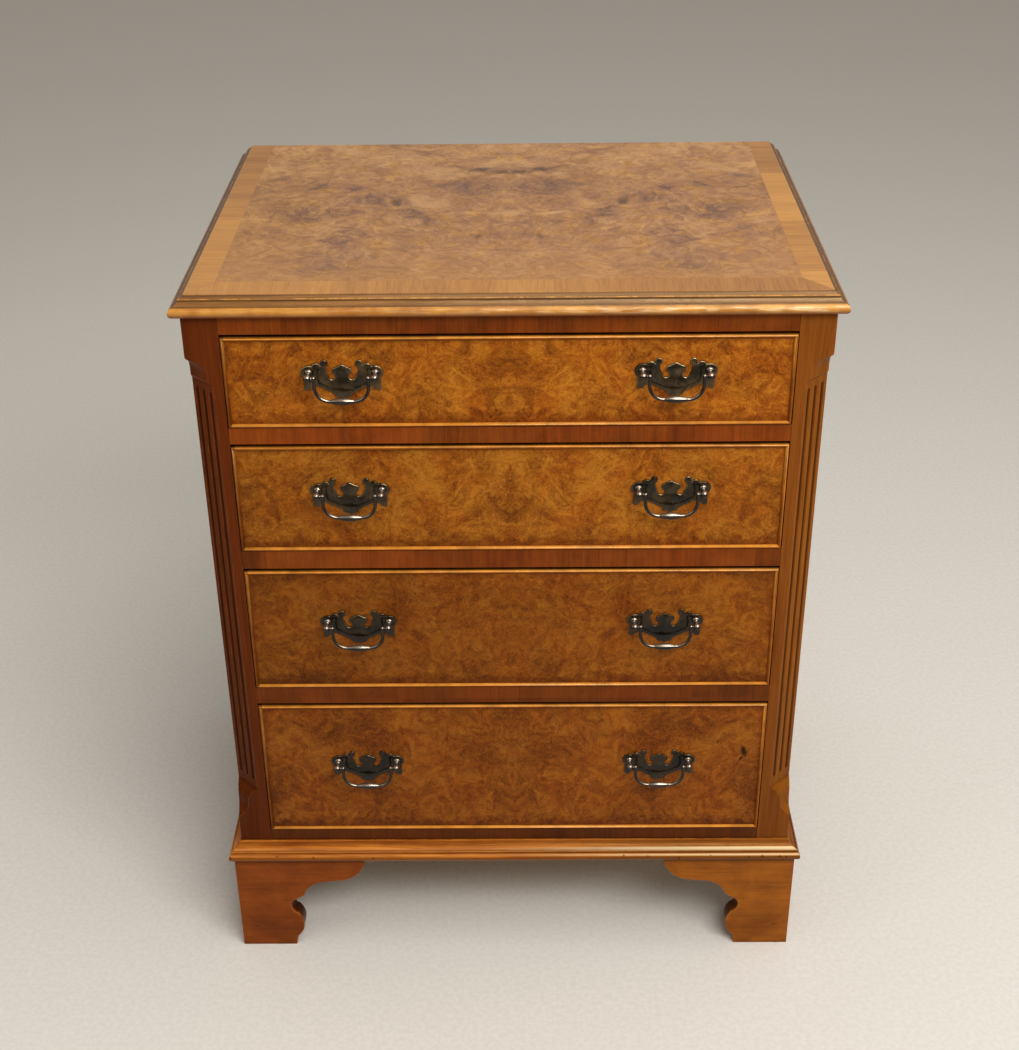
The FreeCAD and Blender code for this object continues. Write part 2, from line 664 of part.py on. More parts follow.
def bail_shape():
    """Bail hanging from its axis: pins, knuckles, legs, bends and a swelled grip."""
    radius = size("bail_radius")
    reach = size("hinge_reach")
    drop = size("bail_drop")
    corner = size("bail_corner")
    knuckle = size("knuckle_radius")
    half = size("post_spacing") / 2
    leg = half - size("head_radius") - size("knuckle_gap") - knuckle
    grip = leg - corner
    bend = corner * (1 - math.sqrt(0.5))
    route = (
        (-leg, 0), (-leg, corner - drop), (bend - leg, bend - drop, VIA), (-grip, -drop),
        (grip, -drop), (leg - bend, bend - drop, VIA), (leg, corner - drop), (leg, 0),
    )
    path = outline_wire(route, lambda u, v: Vector(u, -reach, v), closed=False)
    section = Part.Wire(Part.makeCircle(radius, Vector(-leg, -reach, 0), UP))
    bail = path.makePipeShell([section], True, False)
    swell = ((-grip, 0), (-grip, radius), (0, size("swell_radius"), VIA), (grip, radius), (grip, 0))
    blank = Part.Face(outline_wire(swell, lambda u, v: Vector(u, -reach, v - drop)))
    bail = bail.fuse(blank.revolve(Vector(0, -reach, -drop), Vector(1, 0, 0), 360))
    for _, sign in SIDES:
        top = Vector(sign * leg, -reach, 0)
        pin = Part.makeCylinder(size("pin_radius"), half + size("pin_reach") - leg, top, Vector(sign, 0, 0))
        bail = bail.fuse(Part.makeSphere(knuckle, top)).fuse(pin)
    return bail


def make_handles(number):
    """Two backplates, four posts with their nuts, and two bails."""
    level = f"drawer_{number}_z + drawer_{number}_height / 2 + handle_rise"
    plates = []
    fixings = []
    for side, sign in SIDES:
        middle = Vector(sign * size("handle_offset"), 0, 0)
        plates.append(plate_shape().translated(middle))
        for _, end in SIDES:
            spot = middle + Vector(end * size("post_spacing") / 2, 0, 0)
            fixings.append(post_shape(-end).translated(spot))
            fixings.append(nut_shape().translated(spot))
        name = f"drawer_{number}_bail_{side}"
        node(shaped(name, bail_shape(), x=f"{sign} * handle_offset", z=level), name)
    for name, solids in (("backplates", plates), ("handle_posts", fixings)):
        name = f"drawer_{number}_{name}"
        node(shaped(name, Part.makeCompound(solids), z=level), name)


# ---------------------------------------------------------------- build and export

def check():
    """Stop on anything that failed to build."""
    for item in doc.Objects:
        if "Invalid" in item.State or "Error" in item.State:
            raise RuntimeError(item.Name + " failed")
    for piece in nodes:
        if piece.Shape.isNull() or not piece.Shape.isValid():
            raise RuntimeError(piece.Label + " has no valid shape")


def main():
    fill_sheet()
    make_top()
    make_panels()
    make_posts()
    make_rails()
    make_runners()
    make_stops()
    make_base_moulding()
    make_feet()
    for number in DRAWERS:
        make_drawer(number)
    doc.recompute()
    check()
    os.makedirs("parts", exist_ok=True)
    for piece in nodes:
        piece.Shape.exportStep(f"parts/{piece.Label}.step")
    print(len(nodes), "sub-parts")


main()
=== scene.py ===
"""Finish of a walnut bachelor's chest: veneers, mouldings, feet, drawer boxes and antiqued handles.

Metres, +Z up, the front faces -Y. Each wooden piece is a copy of its solid with softened arrises, and
the swinging bails and the panel pins of the back are grown by Geometry Nodes.
"""
import json
import math

import bmesh
import bpy
from bpy.props import FloatProperty, FloatVectorProperty, PointerProperty
from mathutils import Matrix, Vector


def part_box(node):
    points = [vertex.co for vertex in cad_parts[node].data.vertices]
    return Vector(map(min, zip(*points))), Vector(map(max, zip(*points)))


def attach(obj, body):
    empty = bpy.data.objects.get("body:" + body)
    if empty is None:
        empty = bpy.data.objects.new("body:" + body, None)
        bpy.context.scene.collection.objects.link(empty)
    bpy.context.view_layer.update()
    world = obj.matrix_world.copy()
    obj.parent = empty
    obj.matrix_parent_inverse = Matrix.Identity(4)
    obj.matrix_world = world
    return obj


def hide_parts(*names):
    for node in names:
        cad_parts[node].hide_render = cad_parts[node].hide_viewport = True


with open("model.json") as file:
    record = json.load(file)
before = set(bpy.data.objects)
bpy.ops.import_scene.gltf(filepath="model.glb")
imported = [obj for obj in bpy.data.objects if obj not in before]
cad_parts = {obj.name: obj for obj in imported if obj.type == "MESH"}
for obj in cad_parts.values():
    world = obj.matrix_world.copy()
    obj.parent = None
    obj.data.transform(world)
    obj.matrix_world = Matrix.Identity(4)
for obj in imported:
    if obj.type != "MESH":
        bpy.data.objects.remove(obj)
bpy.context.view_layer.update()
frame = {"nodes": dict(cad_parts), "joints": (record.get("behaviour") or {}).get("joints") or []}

bl_info = {
    "name": "Bachelor's chest",
    "version": (1, 0, 0),
    "blender": (4, 5, 0),
    "location": "3D View > Sidebar > Chest",
    "description": "Veneers, mouldings and handles of a walnut bachelor's chest",
    "category": "Add Mesh",
}

DRAWERS = (1, 2, 3, 4)
SIDES = ("left", "right")
SCENE = bpy.context.scene


def tint(red, green, blue):
    """Scene colour of a display colour given in 0 to 255, by the sRGB curve."""
    return tuple(((c + 14.025) / 269.025) ** 2.4 if c > 10.3 else c / 3294.6 for c in (red, green, blue))


# ---------------------------------------------------------------- what a user may change

def length(name, description, default):
    """Setting for a size in metres."""
    return FloatProperty(name=name, description=description, default=default, min=0.0, max=1.0,
                         subtype="DISTANCE", unit="LENGTH", precision=5)


def colour(name, description, *display):
    """Setting for a colour, given as a display shows it."""
    return FloatVectorProperty(name=name, description=description, default=tint(*display), size=3,
                               min=0.0, max=1.0, subtype="COLOR")


class ChestSizes(bpy.types.PropertyGroup):
    """Sizes of the finish that the solids leave open."""
    arris: length("Arris", "Softened edge of case boards and mouldings", 0.0003)
    foot_arris: length("Foot arris", "Worn edge of the bracket feet", 0.0009)
    band_side: length("Side banding", "Width of the crossbanding along the sides of the top", 0.0247)
    band_front: length("Front banding", "Width of the crossbanding along the front of the top", 0.0305)
    plate_chamfer: length("Plate chamfer", "Rounded rim of a backplate", 0.0007)
    bail_wire: length("Bail wire", "Radius of a bail beside its knuckles", 0.0017)
    bail_swell: length("Bail swell", "Radius of a bail in the middle of its grip", 0.0034)
    bail_corner: length("Bail bend", "Radius of the bend between leg and grip", 0.014)
    knuckle: length("Knuckle", "Radius of the ball at the top of a bail leg", 0.002)
    pin_radius: length("Bail pin", "Radius of the pin that a bail swings on", 0.0013)
    pin_length: length("Bail pin length", "Pin from the middle of a bail leg to its end", 0.0079)
    pin_spacing: length("Pin spacing", "Distance between the panel pins of the back", 0.075)
    pin_inset: length("Pin inset", "Distance of the panel pins from the edge of the back", 0.007)
    pin_head: length("Pin head", "Radius of a panel pin's head", 0.0013)


class ChestColours(bpy.types.PropertyGroup):
    """Colours of the woods and the metal."""
    top_light: colour("Top, light", "Lightest figure of the burr on the top", 188, 141, 93)
    top_mid: colour("Top, middle", "Ground of the burr on the top", 153, 106, 67)
    top_dark: colour("Top, dark", "Clouds of the burr on the top", 107, 73, 55)
    front_light: colour("Front, light", "Lightest figure of the burr on the drawers", 190, 120, 34)
    front_mid: colour("Front, middle", "Ground of the burr on the drawers", 154, 86, 18)
    front_dark: colour("Front, dark", "Clouds of the burr on the drawers", 104, 48, 8)
    band_light: colour("Banding, light", "Lightest piece of the crossbanding", 190, 134, 68)
    band_dark: colour("Banding, dark", "Darkest piece of the crossbanding", 136, 88, 50)
    rail_light: colour("Rails, light", "Light stripes of the rail crossbanding", 144, 69, 16)
    rail_dark: colour("Rails, dark", "Dark stripes of the rail crossbanding", 88, 34, 8)
    # Painted light: the left post and side take a darker, redder colour as if shaded, the right ones a
    # lighter, yellower colour as if lit.
    post_red: colour("Left post", "Reddish grain of the left corner post and side", 91, 37, 10)
    post_gold: colour("Right post", "Yellower grain of the right corner post and side", 126, 68, 20)
    ledge_light: colour("Ledges, light", "Light grain of the ledges over the nose of the top", 142, 94, 46)
    ledge_dark: colour("Ledges, dark", "Dark grain of the ledges over the nose of the top", 98, 58, 24)
    # The light nose colour is also painted as the highlight on the small bead of the top moulding.
    nose: colour("Nose of the top, light", "Rubbed high spots on the nose of the top", 206, 142, 58)
    nose_dark: colour("Nose of the top, dark", "Polish left on the nose of the top", 146, 82, 24)
    moulding_light: colour("Base moulding, light", "Light grain of the base moulding", 216, 130, 44)
    moulding_dark: colour("Base moulding, dark", "Dark grain of the base moulding", 140, 67, 16)
    # Painted highlight: this pale colour is laid on the crests of both mouldings.
    crest_highlight: colour("Rubbed wood", "Pale wood on the crests of both mouldings", 240, 204, 156)
    # Painted light: the left feet take a darker, redder colour as if shaded, the right ones a lighter colour
    # as if lit.
    foot_red: colour("Left feet", "Reddish grain of the left feet", 124, 56, 10)
    foot_gold: colour("Right feet", "Yellower grain of the right feet", 144, 78, 16)
    bead: colour("Cockbead", "Light walnut of the cockbeads", 224, 144, 50)
    lining: colour("Lining", "Planed oak of the drawer boxes", 196, 164, 118)
    plywood: colour("Back", "Stained plywood of the back panel", 150, 112, 74)
    brass: colour("Brass", "Dark antiqued brass", 70, 54, 28)
    # Worn metal colours, also laid on as painted light on the upper rims and on what faces up.
    brass_worn: colour("Worn brass", "Brass that shows through on the rims", 190, 164, 122)
    iron: colour("Bails", "Nearly black metal of the bails and posts", 36, 28, 22)
    bail_worn: colour("Worn bails", "Bright metal on the upper side of the bails", 190, 172, 150)
    floor: colour("Floor", "Plain floor", 226, 220, 210)


# ---------------------------------------------------------------- node trees

def sign(operation, swapped=False):
    """Method that adds a Math node where its sign is used on a node's output."""
    def method(self, other=0.0):
        return calc(operation, other, self) if swapped else calc(operation, self, other)
    return method


class Flow:
    """A node's output that can be reckoned with like a number."""
    __add__ = sign("ADD")
    __sub__ = sign("SUBTRACT")
    __rsub__ = sign("SUBTRACT", swapped=True)
    __mul__ = sign("MULTIPLY")
    __truediv__ = sign("DIVIDE")
    __lt__ = sign("LESS_THAN")
    __gt__ = sign("GREATER_THAN")
    __abs__ = sign("ABSOLUTE")

    def __init__(self, socket):
        self.socket = socket

    def clamped(self):
        """The same number, held between 0 and 1 by its Math node."""
        self.socket.node.use_clamp = True
        return self


def tree_of(values):
    """The node tree that some values come from."""
    return next(value.socket.id_data for value in values if isinstance(value, Flow))


def feed(socket, value):
    """Join an output to a socket, or set its value."""
    if isinstance(value, Flow):
        socket.id_data.links.new(value.socket, socket)
    else:
        socket.default_value = value


def put(kind, settings=None, tree=None, **sockets):
    """Add a node; a socket named in the call takes a value or another node's output."""
    node = (tree_of(sockets.values()) if tree is None else tree).nodes.new(kind)
    for key, value in (settings or {}).items():
        setattr(node, key, value)
    for key, value in sockets.items():
        feed(node.inputs[key.replace("_", " ")], value)
    return node


def out(kind, settings=None, output=0, tree=None, **sockets):
    """One output of a new node."""
    return Flow(put(kind, settings, tree, **sockets).outputs[output])


def filled(node, *values):
    """A node with its first sockets filled in order."""
    for socket, value in zip(node.inputs, values):
        feed(socket, value)
    return node


def calc(operation, *values):
    """Math node on numbers and outputs."""
    node = put("ShaderNodeMath", {"operation": operation}, tree_of(values))
    return Flow(filled(node, *values).outputs[0])


def vector_calc(operation, *values):
    """Vector Math node on vectors and outputs."""
    node = put("ShaderNodeVectorMath", {"operation": operation}, tree_of(values))
    return Flow(filled(node, *values).outputs["Value" if operation == "LENGTH" else "Vector"])


def scaled(vector, factor):
    """A vector made longer or shorter."""
    return out("ShaderNodeVectorMath", {"operation": "SCALE"}, Vector=vector, Scale=factor)


def split(vector):
    """The X, Y and Z of a vector."""
    return [Flow(output) for output in put("ShaderNodeSeparateXYZ", Vector=vector).outputs]


def join(x, y, z):
    """Vector of three numbers or outputs."""
    return out("ShaderNodeCombineXYZ", X=x, Y=y, Z=z)


def opaque(shade):
    """A colour of three parts with its fourth; anything else as it is."""
    return (*shade, 1.0) if hasattr(shade, "__len__") and len(shade) == 3 else shade


def mix(factor, low, high, blend="MIX"):
    """Mix of two colours."""
    node = put("ShaderNodeMix", {"data_type": "RGBA", "blend_type": blend}, tree_of((factor, low, high)))
    for index, value in ((0, factor), (6, low), (7, high)):
        feed(node.inputs[index], opaque(value))
    return Flow(node.outputs[2])


def fade(value, low, high, out_low=0.0, out_high=1.0, smooth=True):
    """Value moved from one range to another, clamped."""
    node = put("ShaderNodeMapRange", {"interpolation_type": "SMOOTHSTEP" if smooth else "LINEAR"},
               tree_of((value,)))
    return Flow(filled(node, value, low, high, out_low, out_high).outputs[0])


def ramp(value, stops, steps=False):
    """Colour ramp; a stop is a place and a colour, or a place and a grey."""
    node = put("ShaderNodeValToRGB", Fac=value)
    node.color_ramp.interpolation = "CONSTANT" if steps else "LINEAR"
    elements = node.color_ramp.elements
    while len(elements) < len(stops):
        elements.new(0.5)
    for element, (place, shade) in zip(elements, stops):
        element.position = place
        element.color = opaque(shade if hasattr(shade, "__len__") else (shade, shade, shade))
    return Flow(node.outputs[0])


def noise(vector, scale, detail=3.0, roughness=0.5, distortion=0.0, output=0, kind="FBM"):
    """Noise texture: output 0 is the value, 1 the colour."""
    return out("ShaderNodeTexNoise", {"noise_type": kind}, output, Vector=vector, Scale=scale,
               Detail=detail, Roughness=roughness, Distortion=distortion)


def warped(vector, scale, amount, detail=2.0):
    """Coordinates pushed about by noise."""
    shift = vector_calc("SUBTRACT", noise(vector, scale, detail, output=1), (0.5, 0.5, 0.5))
    return vector_calc("ADD", vector, scaled(shift, amount))


def bump(height, strength, distance):
    """Normal of a shallow relief."""
    return out("ShaderNodeBump", Height=height, Strength=strength, Distance=distance)


# ---------------------------------------------------------------- effects that materials share

def new_group(name, outputs, **inputs):
    """Empty shader group: a vector or a number for each input, and numbers out."""
    tree = bpy.data.node_groups.new(name, "ShaderNodeTree")
    for label, default in inputs.items():
        kind = "NodeSocketVector" if isinstance(default, tuple) else "NodeSocketFloat"
        tree.interface.new_socket(label, in_out="INPUT", socket_type=kind).default_value = default
    for label in outputs:
        tree.interface.new_socket(label, in_out="OUTPUT", socket_type="NodeSocketFloat")
    given = {socket.name: Flow(socket) for socket in tree.nodes.new("NodeGroupInput").outputs}
    return given, tree.nodes.new("NodeGroupOutput").inputs


def use(group, **sockets):
    """A group's outputs by name, the group being placed with its own values."""
    node = put("ShaderNodeGroup", {"node_tree": bpy.data.node_groups[group]}, **sockets)
    return {output.name: Flow(output) for output in node.outputs}


def burr_group():
    """Burr walnut: clouds, blotches, curls and veins in one tone, and small dark eyes."""
    given, made = new_group("Burr figure", ("Tone", "Eyes"), Vector=(0, 0, 0), Scale=1.0, Clouds=1.2,
                            Fine=1.0)
    place = warped(scaled(given["Vector"], given["Scale"]), 8.0, 0.06, 3.0)
    swirled = warped(place, 32.0, 0.024, 4.0)
    clouds = (noise(place, 9.0, 3.0, 0.5, 0.5) - 0.5) * given["Clouds"]
    blotch = (noise(swirled, 34.0, 5.0, 0.62, 1.4) - 0.5) * 1.7
    curl = (noise(swirled, 170.0, 4.0, 0.72, 2.0) - 0.5) * (given["Fine"] * 1.9)
    vein = noise(swirled, 60.0, 3.0, 0.5, 0.8, kind="RIDGED_MULTIFRACTAL")
    veins = fade(vein, 0.6, 1.3) * (given["Fine"] * 0.22)
    feed(made["Tone"], (clouds + blotch + (curl + 0.5) - veins).clamped())
    dots = fade(out("ShaderNodeTexVoronoi", output="Distance", Vector=swirled, Scale=110.0), 0.05, 0.26,
                1.0, 0.0)
    feed(made["Eyes"], dots * fade(noise(place, 22.0, 2.0), 0.52, 0.66))


def grain_group():
    """Straight grain: fibres in three sizes, and dark pores along them."""
    given, made = new_group("Grain", ("Tone", "Pores"), Vector=(0, 0, 0), Stretch=(60, 60, 1.5))
    place = vector_calc("MULTIPLY", warped(given["Vector"], 5.0, 0.012), given["Stretch"])
    tone = 0.5
    for scale, share in ((0.55, 1.0), (2.6, 0.9), (9.0, 0.7)):
        tone = (noise(place, scale, 3.0, 0.6, 0.4) - 0.5) * share + tone
    feed(made["Tone"], fade(tone, 0.1, 0.9))
    feed(made["Pores"], fade(noise(place, 4.5, 3.0, 0.6), 0.57, 0.68))


def spot_group():
    """One soft oval spot."""
    given, made = new_group("Spot", ("Mask",), Vector=(0, 0, 0), Centre=(0, 0, 0), Reach=(1, 1, 1), Turn=0.0,
                            Core=0.3)
    apart = vector_calc("SUBTRACT", given["Vector"], given["Centre"])
    turned = out("ShaderNodeVectorRotate", {"rotation_type": "Z_AXIS"}, Vector=apart, Angle=given["Turn"])
    far = vector_calc("LENGTH", vector_calc("DIVIDE", turned, given["Reach"]))
    feed(made["Mask"], fade(far, given["Core"], 1.0, 1.0, 0.0))


def rim_group():
    """Distance to the nearest edge of an upright board."""
    given, made = new_group("Rim distance", ("Distance",), Vector=(0, 0, 0), Centre=(0, 0, 0), Half=(1, 1, 1))
    apart = vector_calc("ABSOLUTE", vector_calc("SUBTRACT", given["Vector"], given["Centre"]))
    x, _, z = split(vector_calc("SUBTRACT", given["Half"], apart))
    feed(made["Distance"], calc("MINIMUM", x, z))


def wear_group():
    """Broken wear along the arrises."""
    given, made = new_group("Wear", ("Mask",), Vector=(0, 0, 0), Arris=0.0, Amount=1.0)
    broken = fade(noise(given["Vector"], 90.0, 4.0, 0.65), 0.38, 0.62)
    feed(made["Mask"], (given["Arris"] * broken * given["Amount"]).clamped())


def spots(place, table):
    """One mask of several soft spots."""
    total = None
    for (x, y), (reach_x, reach_y), turn, core in table:
        mask = use("Spot", Vector=place, Centre=(x, y, 0), Reach=(reach_x, reach_y, 1), Turn=turn,
                   Core=core)["Mask"]
        total = mask if total is None else calc("MAXIMUM", total, mask)
    return total


def arris_mask(place, amount):
    """Where an edge is worn."""
    arris = out("ShaderNodeAttribute", {"attribute_name": "arris"}, "Fac", tree_of((place,)))
    return use("Wear", Vector=place, Arris=arris, Amount=amount)["Mask"]


def facing(place):
    """Which way the surface looks, from the node that gives its place."""
    return split(Flow(place.socket.node.outputs["Normal"]))


def times(shade, factor):
    """A colour made lighter or darker."""
    return tuple(min(1.0, c * factor) for c in shade)


def stained(base, stain):
    """Colour seen through another."""
    return mix(1.0, base, stain, blend="MULTIPLY")


def darker(base, factor):
    """Colour made darker, and warmer with it, as old polish does."""
    return stained(base, (factor, factor * 0.85, factor * 0.7))


def shaded(base, mask, amount, factor=0.25):
    """Colour darkened by a mask."""
    dark = darker(base, factor)
    return mix((mask * amount).clamped(), base, dark)


def new_material(name):
    """Material with its shader's sockets and the object's coordinates."""
    material = bpy.data.materials.new(name)
    material.use_nodes = True
    nodes = material.node_tree.nodes
    return material, nodes["Principled BSDF"].inputs, Flow(nodes.new("ShaderNodeTexCoord").outputs["Object"])


# How polish tints what it reflects: old, thinned by hands and dusters, and nearly clear.
AMBER = (1.0, 0.56, 0.2, 1.0)
STRAW = (1.0, 0.86, 0.55, 1.0)
CLEAR = (1.0, 0.95, 0.9, 1.0)


def polish(shader, base, place, rough, relief=None, depth=0.0002, shine=0.3, glow=AMBER):
    """Polished wood: colour, uneven sheen and shallow relief."""
    feed(shader["Base Color"], base)
    feed(shader["Specular IOR Level"], shine)
    feed(shader["Specular Tint"], glow)
    feed(shader["Roughness"], fade(noise(place, 14.0, 3.0), 0.3, 0.7, rough - 0.02, rough + 0.04))
    ripple = noise(place, 55.0, 2.0)
    feed(shader["Normal"], bump(ripple if relief is None else ripple * 0.5 + relief, 0.35, depth))


# ---------------------------------------------------------------- the top

# Figure of the book-matched top, each spot by its place right of the join and front to back, reach, turn
# and core: dull clouds, black knots, and pale sapwood, which the two leaves don't share.
TOP_CLOUDS = (
    ((0.188, 0.002), (0.050, 0.044), 0.0, 0.1), ((0.165, -0.075), (0.036, 0.060), 0.0, 0.1),
    ((0.099, 0.002), (0.026, 0.056), 0.45, 0.2), ((0.150, 0.045), (0.060, 0.034), 0.1, 0.1),
    ((0.030, 0.080), (0.065, 0.036), 0.0, 0.1),
    ((0.160, -0.122), (0.055, 0.032), 0.1, 0.1), ((0.020, 0.137), (0.042, 0.018), 0.0, 0.3),
    ((0.175, -0.150), (0.045, 0.028), 0.2, 0.1), ((0.240, 0.115), (0.026, 0.012), 0.6, 0.1),
    ((0.200, 0.085), (0.022, 0.010), 0.6, 0.1), ((0.165, 0.075), (0.014, 0.020), 0.0, 0.2),
)
TOP_KNOTS = (
    ((0.116, 0.032), (0.008, 0.015), 0.2, 0.3), ((0.033, 0.139), (0.016, 0.010), 0.3, 0.2),
    ((0.010, 0.130), (0.020, 0.009), 0.0, 0.2), ((0.092, -0.004), (0.014, 0.030), 0.45, -0.6),
    ((0.083, -0.030), (0.008, 0.018), 0.2, -0.6), ((0.030, -0.067), (0.005, 0.012), -0.3, -0.3),
    ((0.102, 0.062), (0.012, 0.004), 0.2, -0.4),
)
TOP_SAPWOOD = (
    ((-0.070, 0.126), (0.029, 0.027), 0.2, 0.7), ((0.056, 0.127), (0.014, 0.022), 0.0, 0.2),
    ((-0.082, 0.034), (0.034, 0.022), 0.45, 0.5), ((0.076, 0.032), (0.015, 0.024), 0.0, 0.1),
    ((-0.004, -0.002), (0.026, 0.012), 0.0, 0.4), ((0.046, 0.000), (0.028, 0.006), -0.4, 0.2),
    ((0.228, 0.135), (0.038, 0.016), 0.3, 0.0), ((-0.212, 0.135), (0.018, 0.024), 0.6, -0.3),
)
FAN = 0.2  # the fibres of the top fan out from a point this far in front of its middle

# Pieces of the crossbanding: where each starts along its band, as a share, and how light it is.
BAND_FRONT = ((0.0, 0.86), (0.12, 0.78), (0.22, 0.66), (0.3, 0.5), (0.47, 0.72), (0.57, 0.55), (0.65, 0.4),
              (0.74, 0.28), (0.86, 0.24))
BAND_LEFT = ((0.0, 0.86), (0.34, 0.95), (0.46, 0.6), (0.58, 0.42), (0.78, 0.3), (0.9, 0.4))
BAND_RIGHT = ((0.0, 1.0), (0.1, 0.6), (0.3, 0.55), (0.41, 0.95), (0.745, 0.3), (0.87, 0.42))


def top_tone(place, folded, burr, clouds, low):
    """How light the figure of the top is: burr, fibres that fan out, clouds, and paler ends."""
    x, y, _ = split(place)
    ahead = y + FAN
    turn = calc("ARCTAN2", x, ahead) * FAN
    away = vector_calc("LENGTH", join(x, ahead, 0.0)) * 0.25
    fibre = noise(warped(join(turn, away, 0.0), 40.0, 0.012), 150.0, 5.0, 0.66)
    fibre = (fibre - 0.5) * fade(noise(folded, 13.0, 2.0), 0.35, 0.62, 0.15, 0.75)
    ends = fade(y, low.y + 0.03, low.y + 0.17, 0.05, 0.0) + fade(y, 0.06, 0.2, 0.0, 0.12)
    tone = burr["Tone"] * 0.74 + (fibre + 0.14) - clouds * 0.22 + ends
    calm = fade(y, low.y + 0.05, low.y + 0.2, 0.7, 1.0)
    return ((tone - 0.5) * calm + 0.5).clamped()


def top_burr(place, colours):
    """Book-matched burr: its two leaves mirror each other, but for a little drift and the sapwood."""
    low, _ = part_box("top_board")
    x, y, _ = split(place)
    folded = join(abs(x), y, 0.0)
    wavy = warped(folded, 30.0, 0.016, 3.0)
    drift_x, drift_y, _ = split(warped(place, 12.0, 0.03))
    burr = use("Burr figure", Vector=join(abs(drift_x) + 3.1, drift_y, 0.4), Scale=1.7, Clouds=1.2, Fine=0.8)
    clouds = spots(wavy, TOP_CLOUDS) * fade(burr["Tone"], 0.2, 0.8, 1.0, 0.4)
    tone = top_tone(place, folded, burr, clouds, low)
    base = ramp(tone, ((0.05, colours.top_dark), (0.5, colours.top_mid), (0.95, colours.top_light)))
    golden = calc("MAXIMUM", fade(x, low.x + 0.02, low.x + 0.17, 1.0, 0.0),
                  fade(y, low.y + 0.02, low.y + 0.11, 0.8, 0.0))
    golden = golden * fade(noise(wavy, 16.0, 3.0), 0.3, 0.6, 0.15, 0.6)
    patches = fade(noise(wavy, 44.0, 5.0, 0.6), 0.5, 0.62) * 0.85
    base = mix(calc("MAXIMUM", golden, patches), base, stained(base, (1.11, 1.09, 0.72)))
    base = mix(clouds, base, stained(base, (0.82, 0.86, 1.05)))
    ragged = warped(warped(join(x, y, 0.0), 24.0, 0.022), 110.0, 0.009, 4.0)
    sapwood = spots(ragged, TOP_SAPWOOD) * fade(tone, 0.2, 0.6, 0.35, 0.7)
    base = mix(sapwood, base, colours.top_light)
    mottle = fade(noise(folded, 420.0, 3.0), 0.3, 0.6, 0.35, 0.8)
    knots = spots(warped(folded, 160.0, 0.009, 4.0), TOP_KNOTS) * mottle
    return mix(calc("MAXIMUM", knots, burr["Eyes"] * 0.4), base, times(colours.top_dark, 0.3))


def top_banding(base, place, colours, sizes):
    """Mitred crossbanding round the burr, laid in pieces of different lightness."""
    low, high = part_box("top_board")
    x, y, _ = split(place)
    share_x = (high.x - abs(x)) / sizes.band_side
    share_y = (y - low.y) / sizes.band_front
    share = calc("MINIMUM", share_x, share_y)
    in_front = share_y < share_x
    along = fade(y, low.y, high.y, smooth=False)
    side_piece = mix(x > 0.0, ramp(along, BAND_LEFT, steps=True), ramp(along, BAND_RIGHT, steps=True))
    front_piece = ramp(fade(x, low.x, high.x, smooth=False), BAND_FRONT, steps=True)
    grain_front = use("Grain", Vector=place, Stretch=(210, 9, 1))
    grain_side = use("Grain", Vector=place, Stretch=(9, 150, 1))
    tone = mix(in_front, side_piece, front_piece) * 0.75
    tone = tone + mix(in_front, grain_side["Tone"], grain_front["Tone"]) * 0.5
    band = mix((tone - 0.14).clamped(), colours.band_dark, colours.band_light)
    stripe = mix(in_front, (0.0, 0.0, 0.0), grain_front["Pores"])
    band = mix(stripe * 0.4, band, times(colours.band_dark, 0.6))
    mitre = fade(abs(share_x - share_y), 0.0, 0.03, 1.0, 0.0)
    band = mix(mitre * 0.35, band, colours.top_dark)
    base = mix(share < 1.0, base, band)
    line = fade(abs(share - 1.0), 0.0, 0.03, 1.0, 0.0)
    return mix(line * 0.15, base, colours.top_dark)


def top_veneer(name, colours, sizes):
    """Book-matched burr inside a mitred crossbanding."""
    material, shader, place = new_material(name)
    base = top_banding(top_burr(place, colours), place, colours, sizes)
    polish(shader, base, place, 0.36, depth=0.0001, shine=0.5, glow=CLEAR)
    return material


# ---------------------------------------------------------------- drawers, rails, posts and sides

# Painted shade: how much of the ground colour each drawer keeps, the lower ones darker and a little redder,
# and how much painted shade darkens its left end, away from the light.
DRAWER_HEIGHT_SHADE = {1: (0.94, 0.94, 0.98), 2: (0.83, 0.84, 0.9), 3: (0.6, 0.54, 0.54), 4: (0.6, 0.52, 0.54)}
DRAWER_SHADE = {1: 0.22, 2: 0.26, 3: 0.34, 4: 0.18}
RED_SHADE = (0.55, 0.38, 0.25)  # polish gathered against the beads, and painted shade cast by them
# The knot of the lowest drawer and its tail: place across and up, reach, turn and core.
DRAWER_KNOT = (((0.242, 0.2635), (0.0045, 0.0095), -0.2, 0.4), ((0.239, 0.2535), (0.0018, 0.0075), 0.5, 0.2))


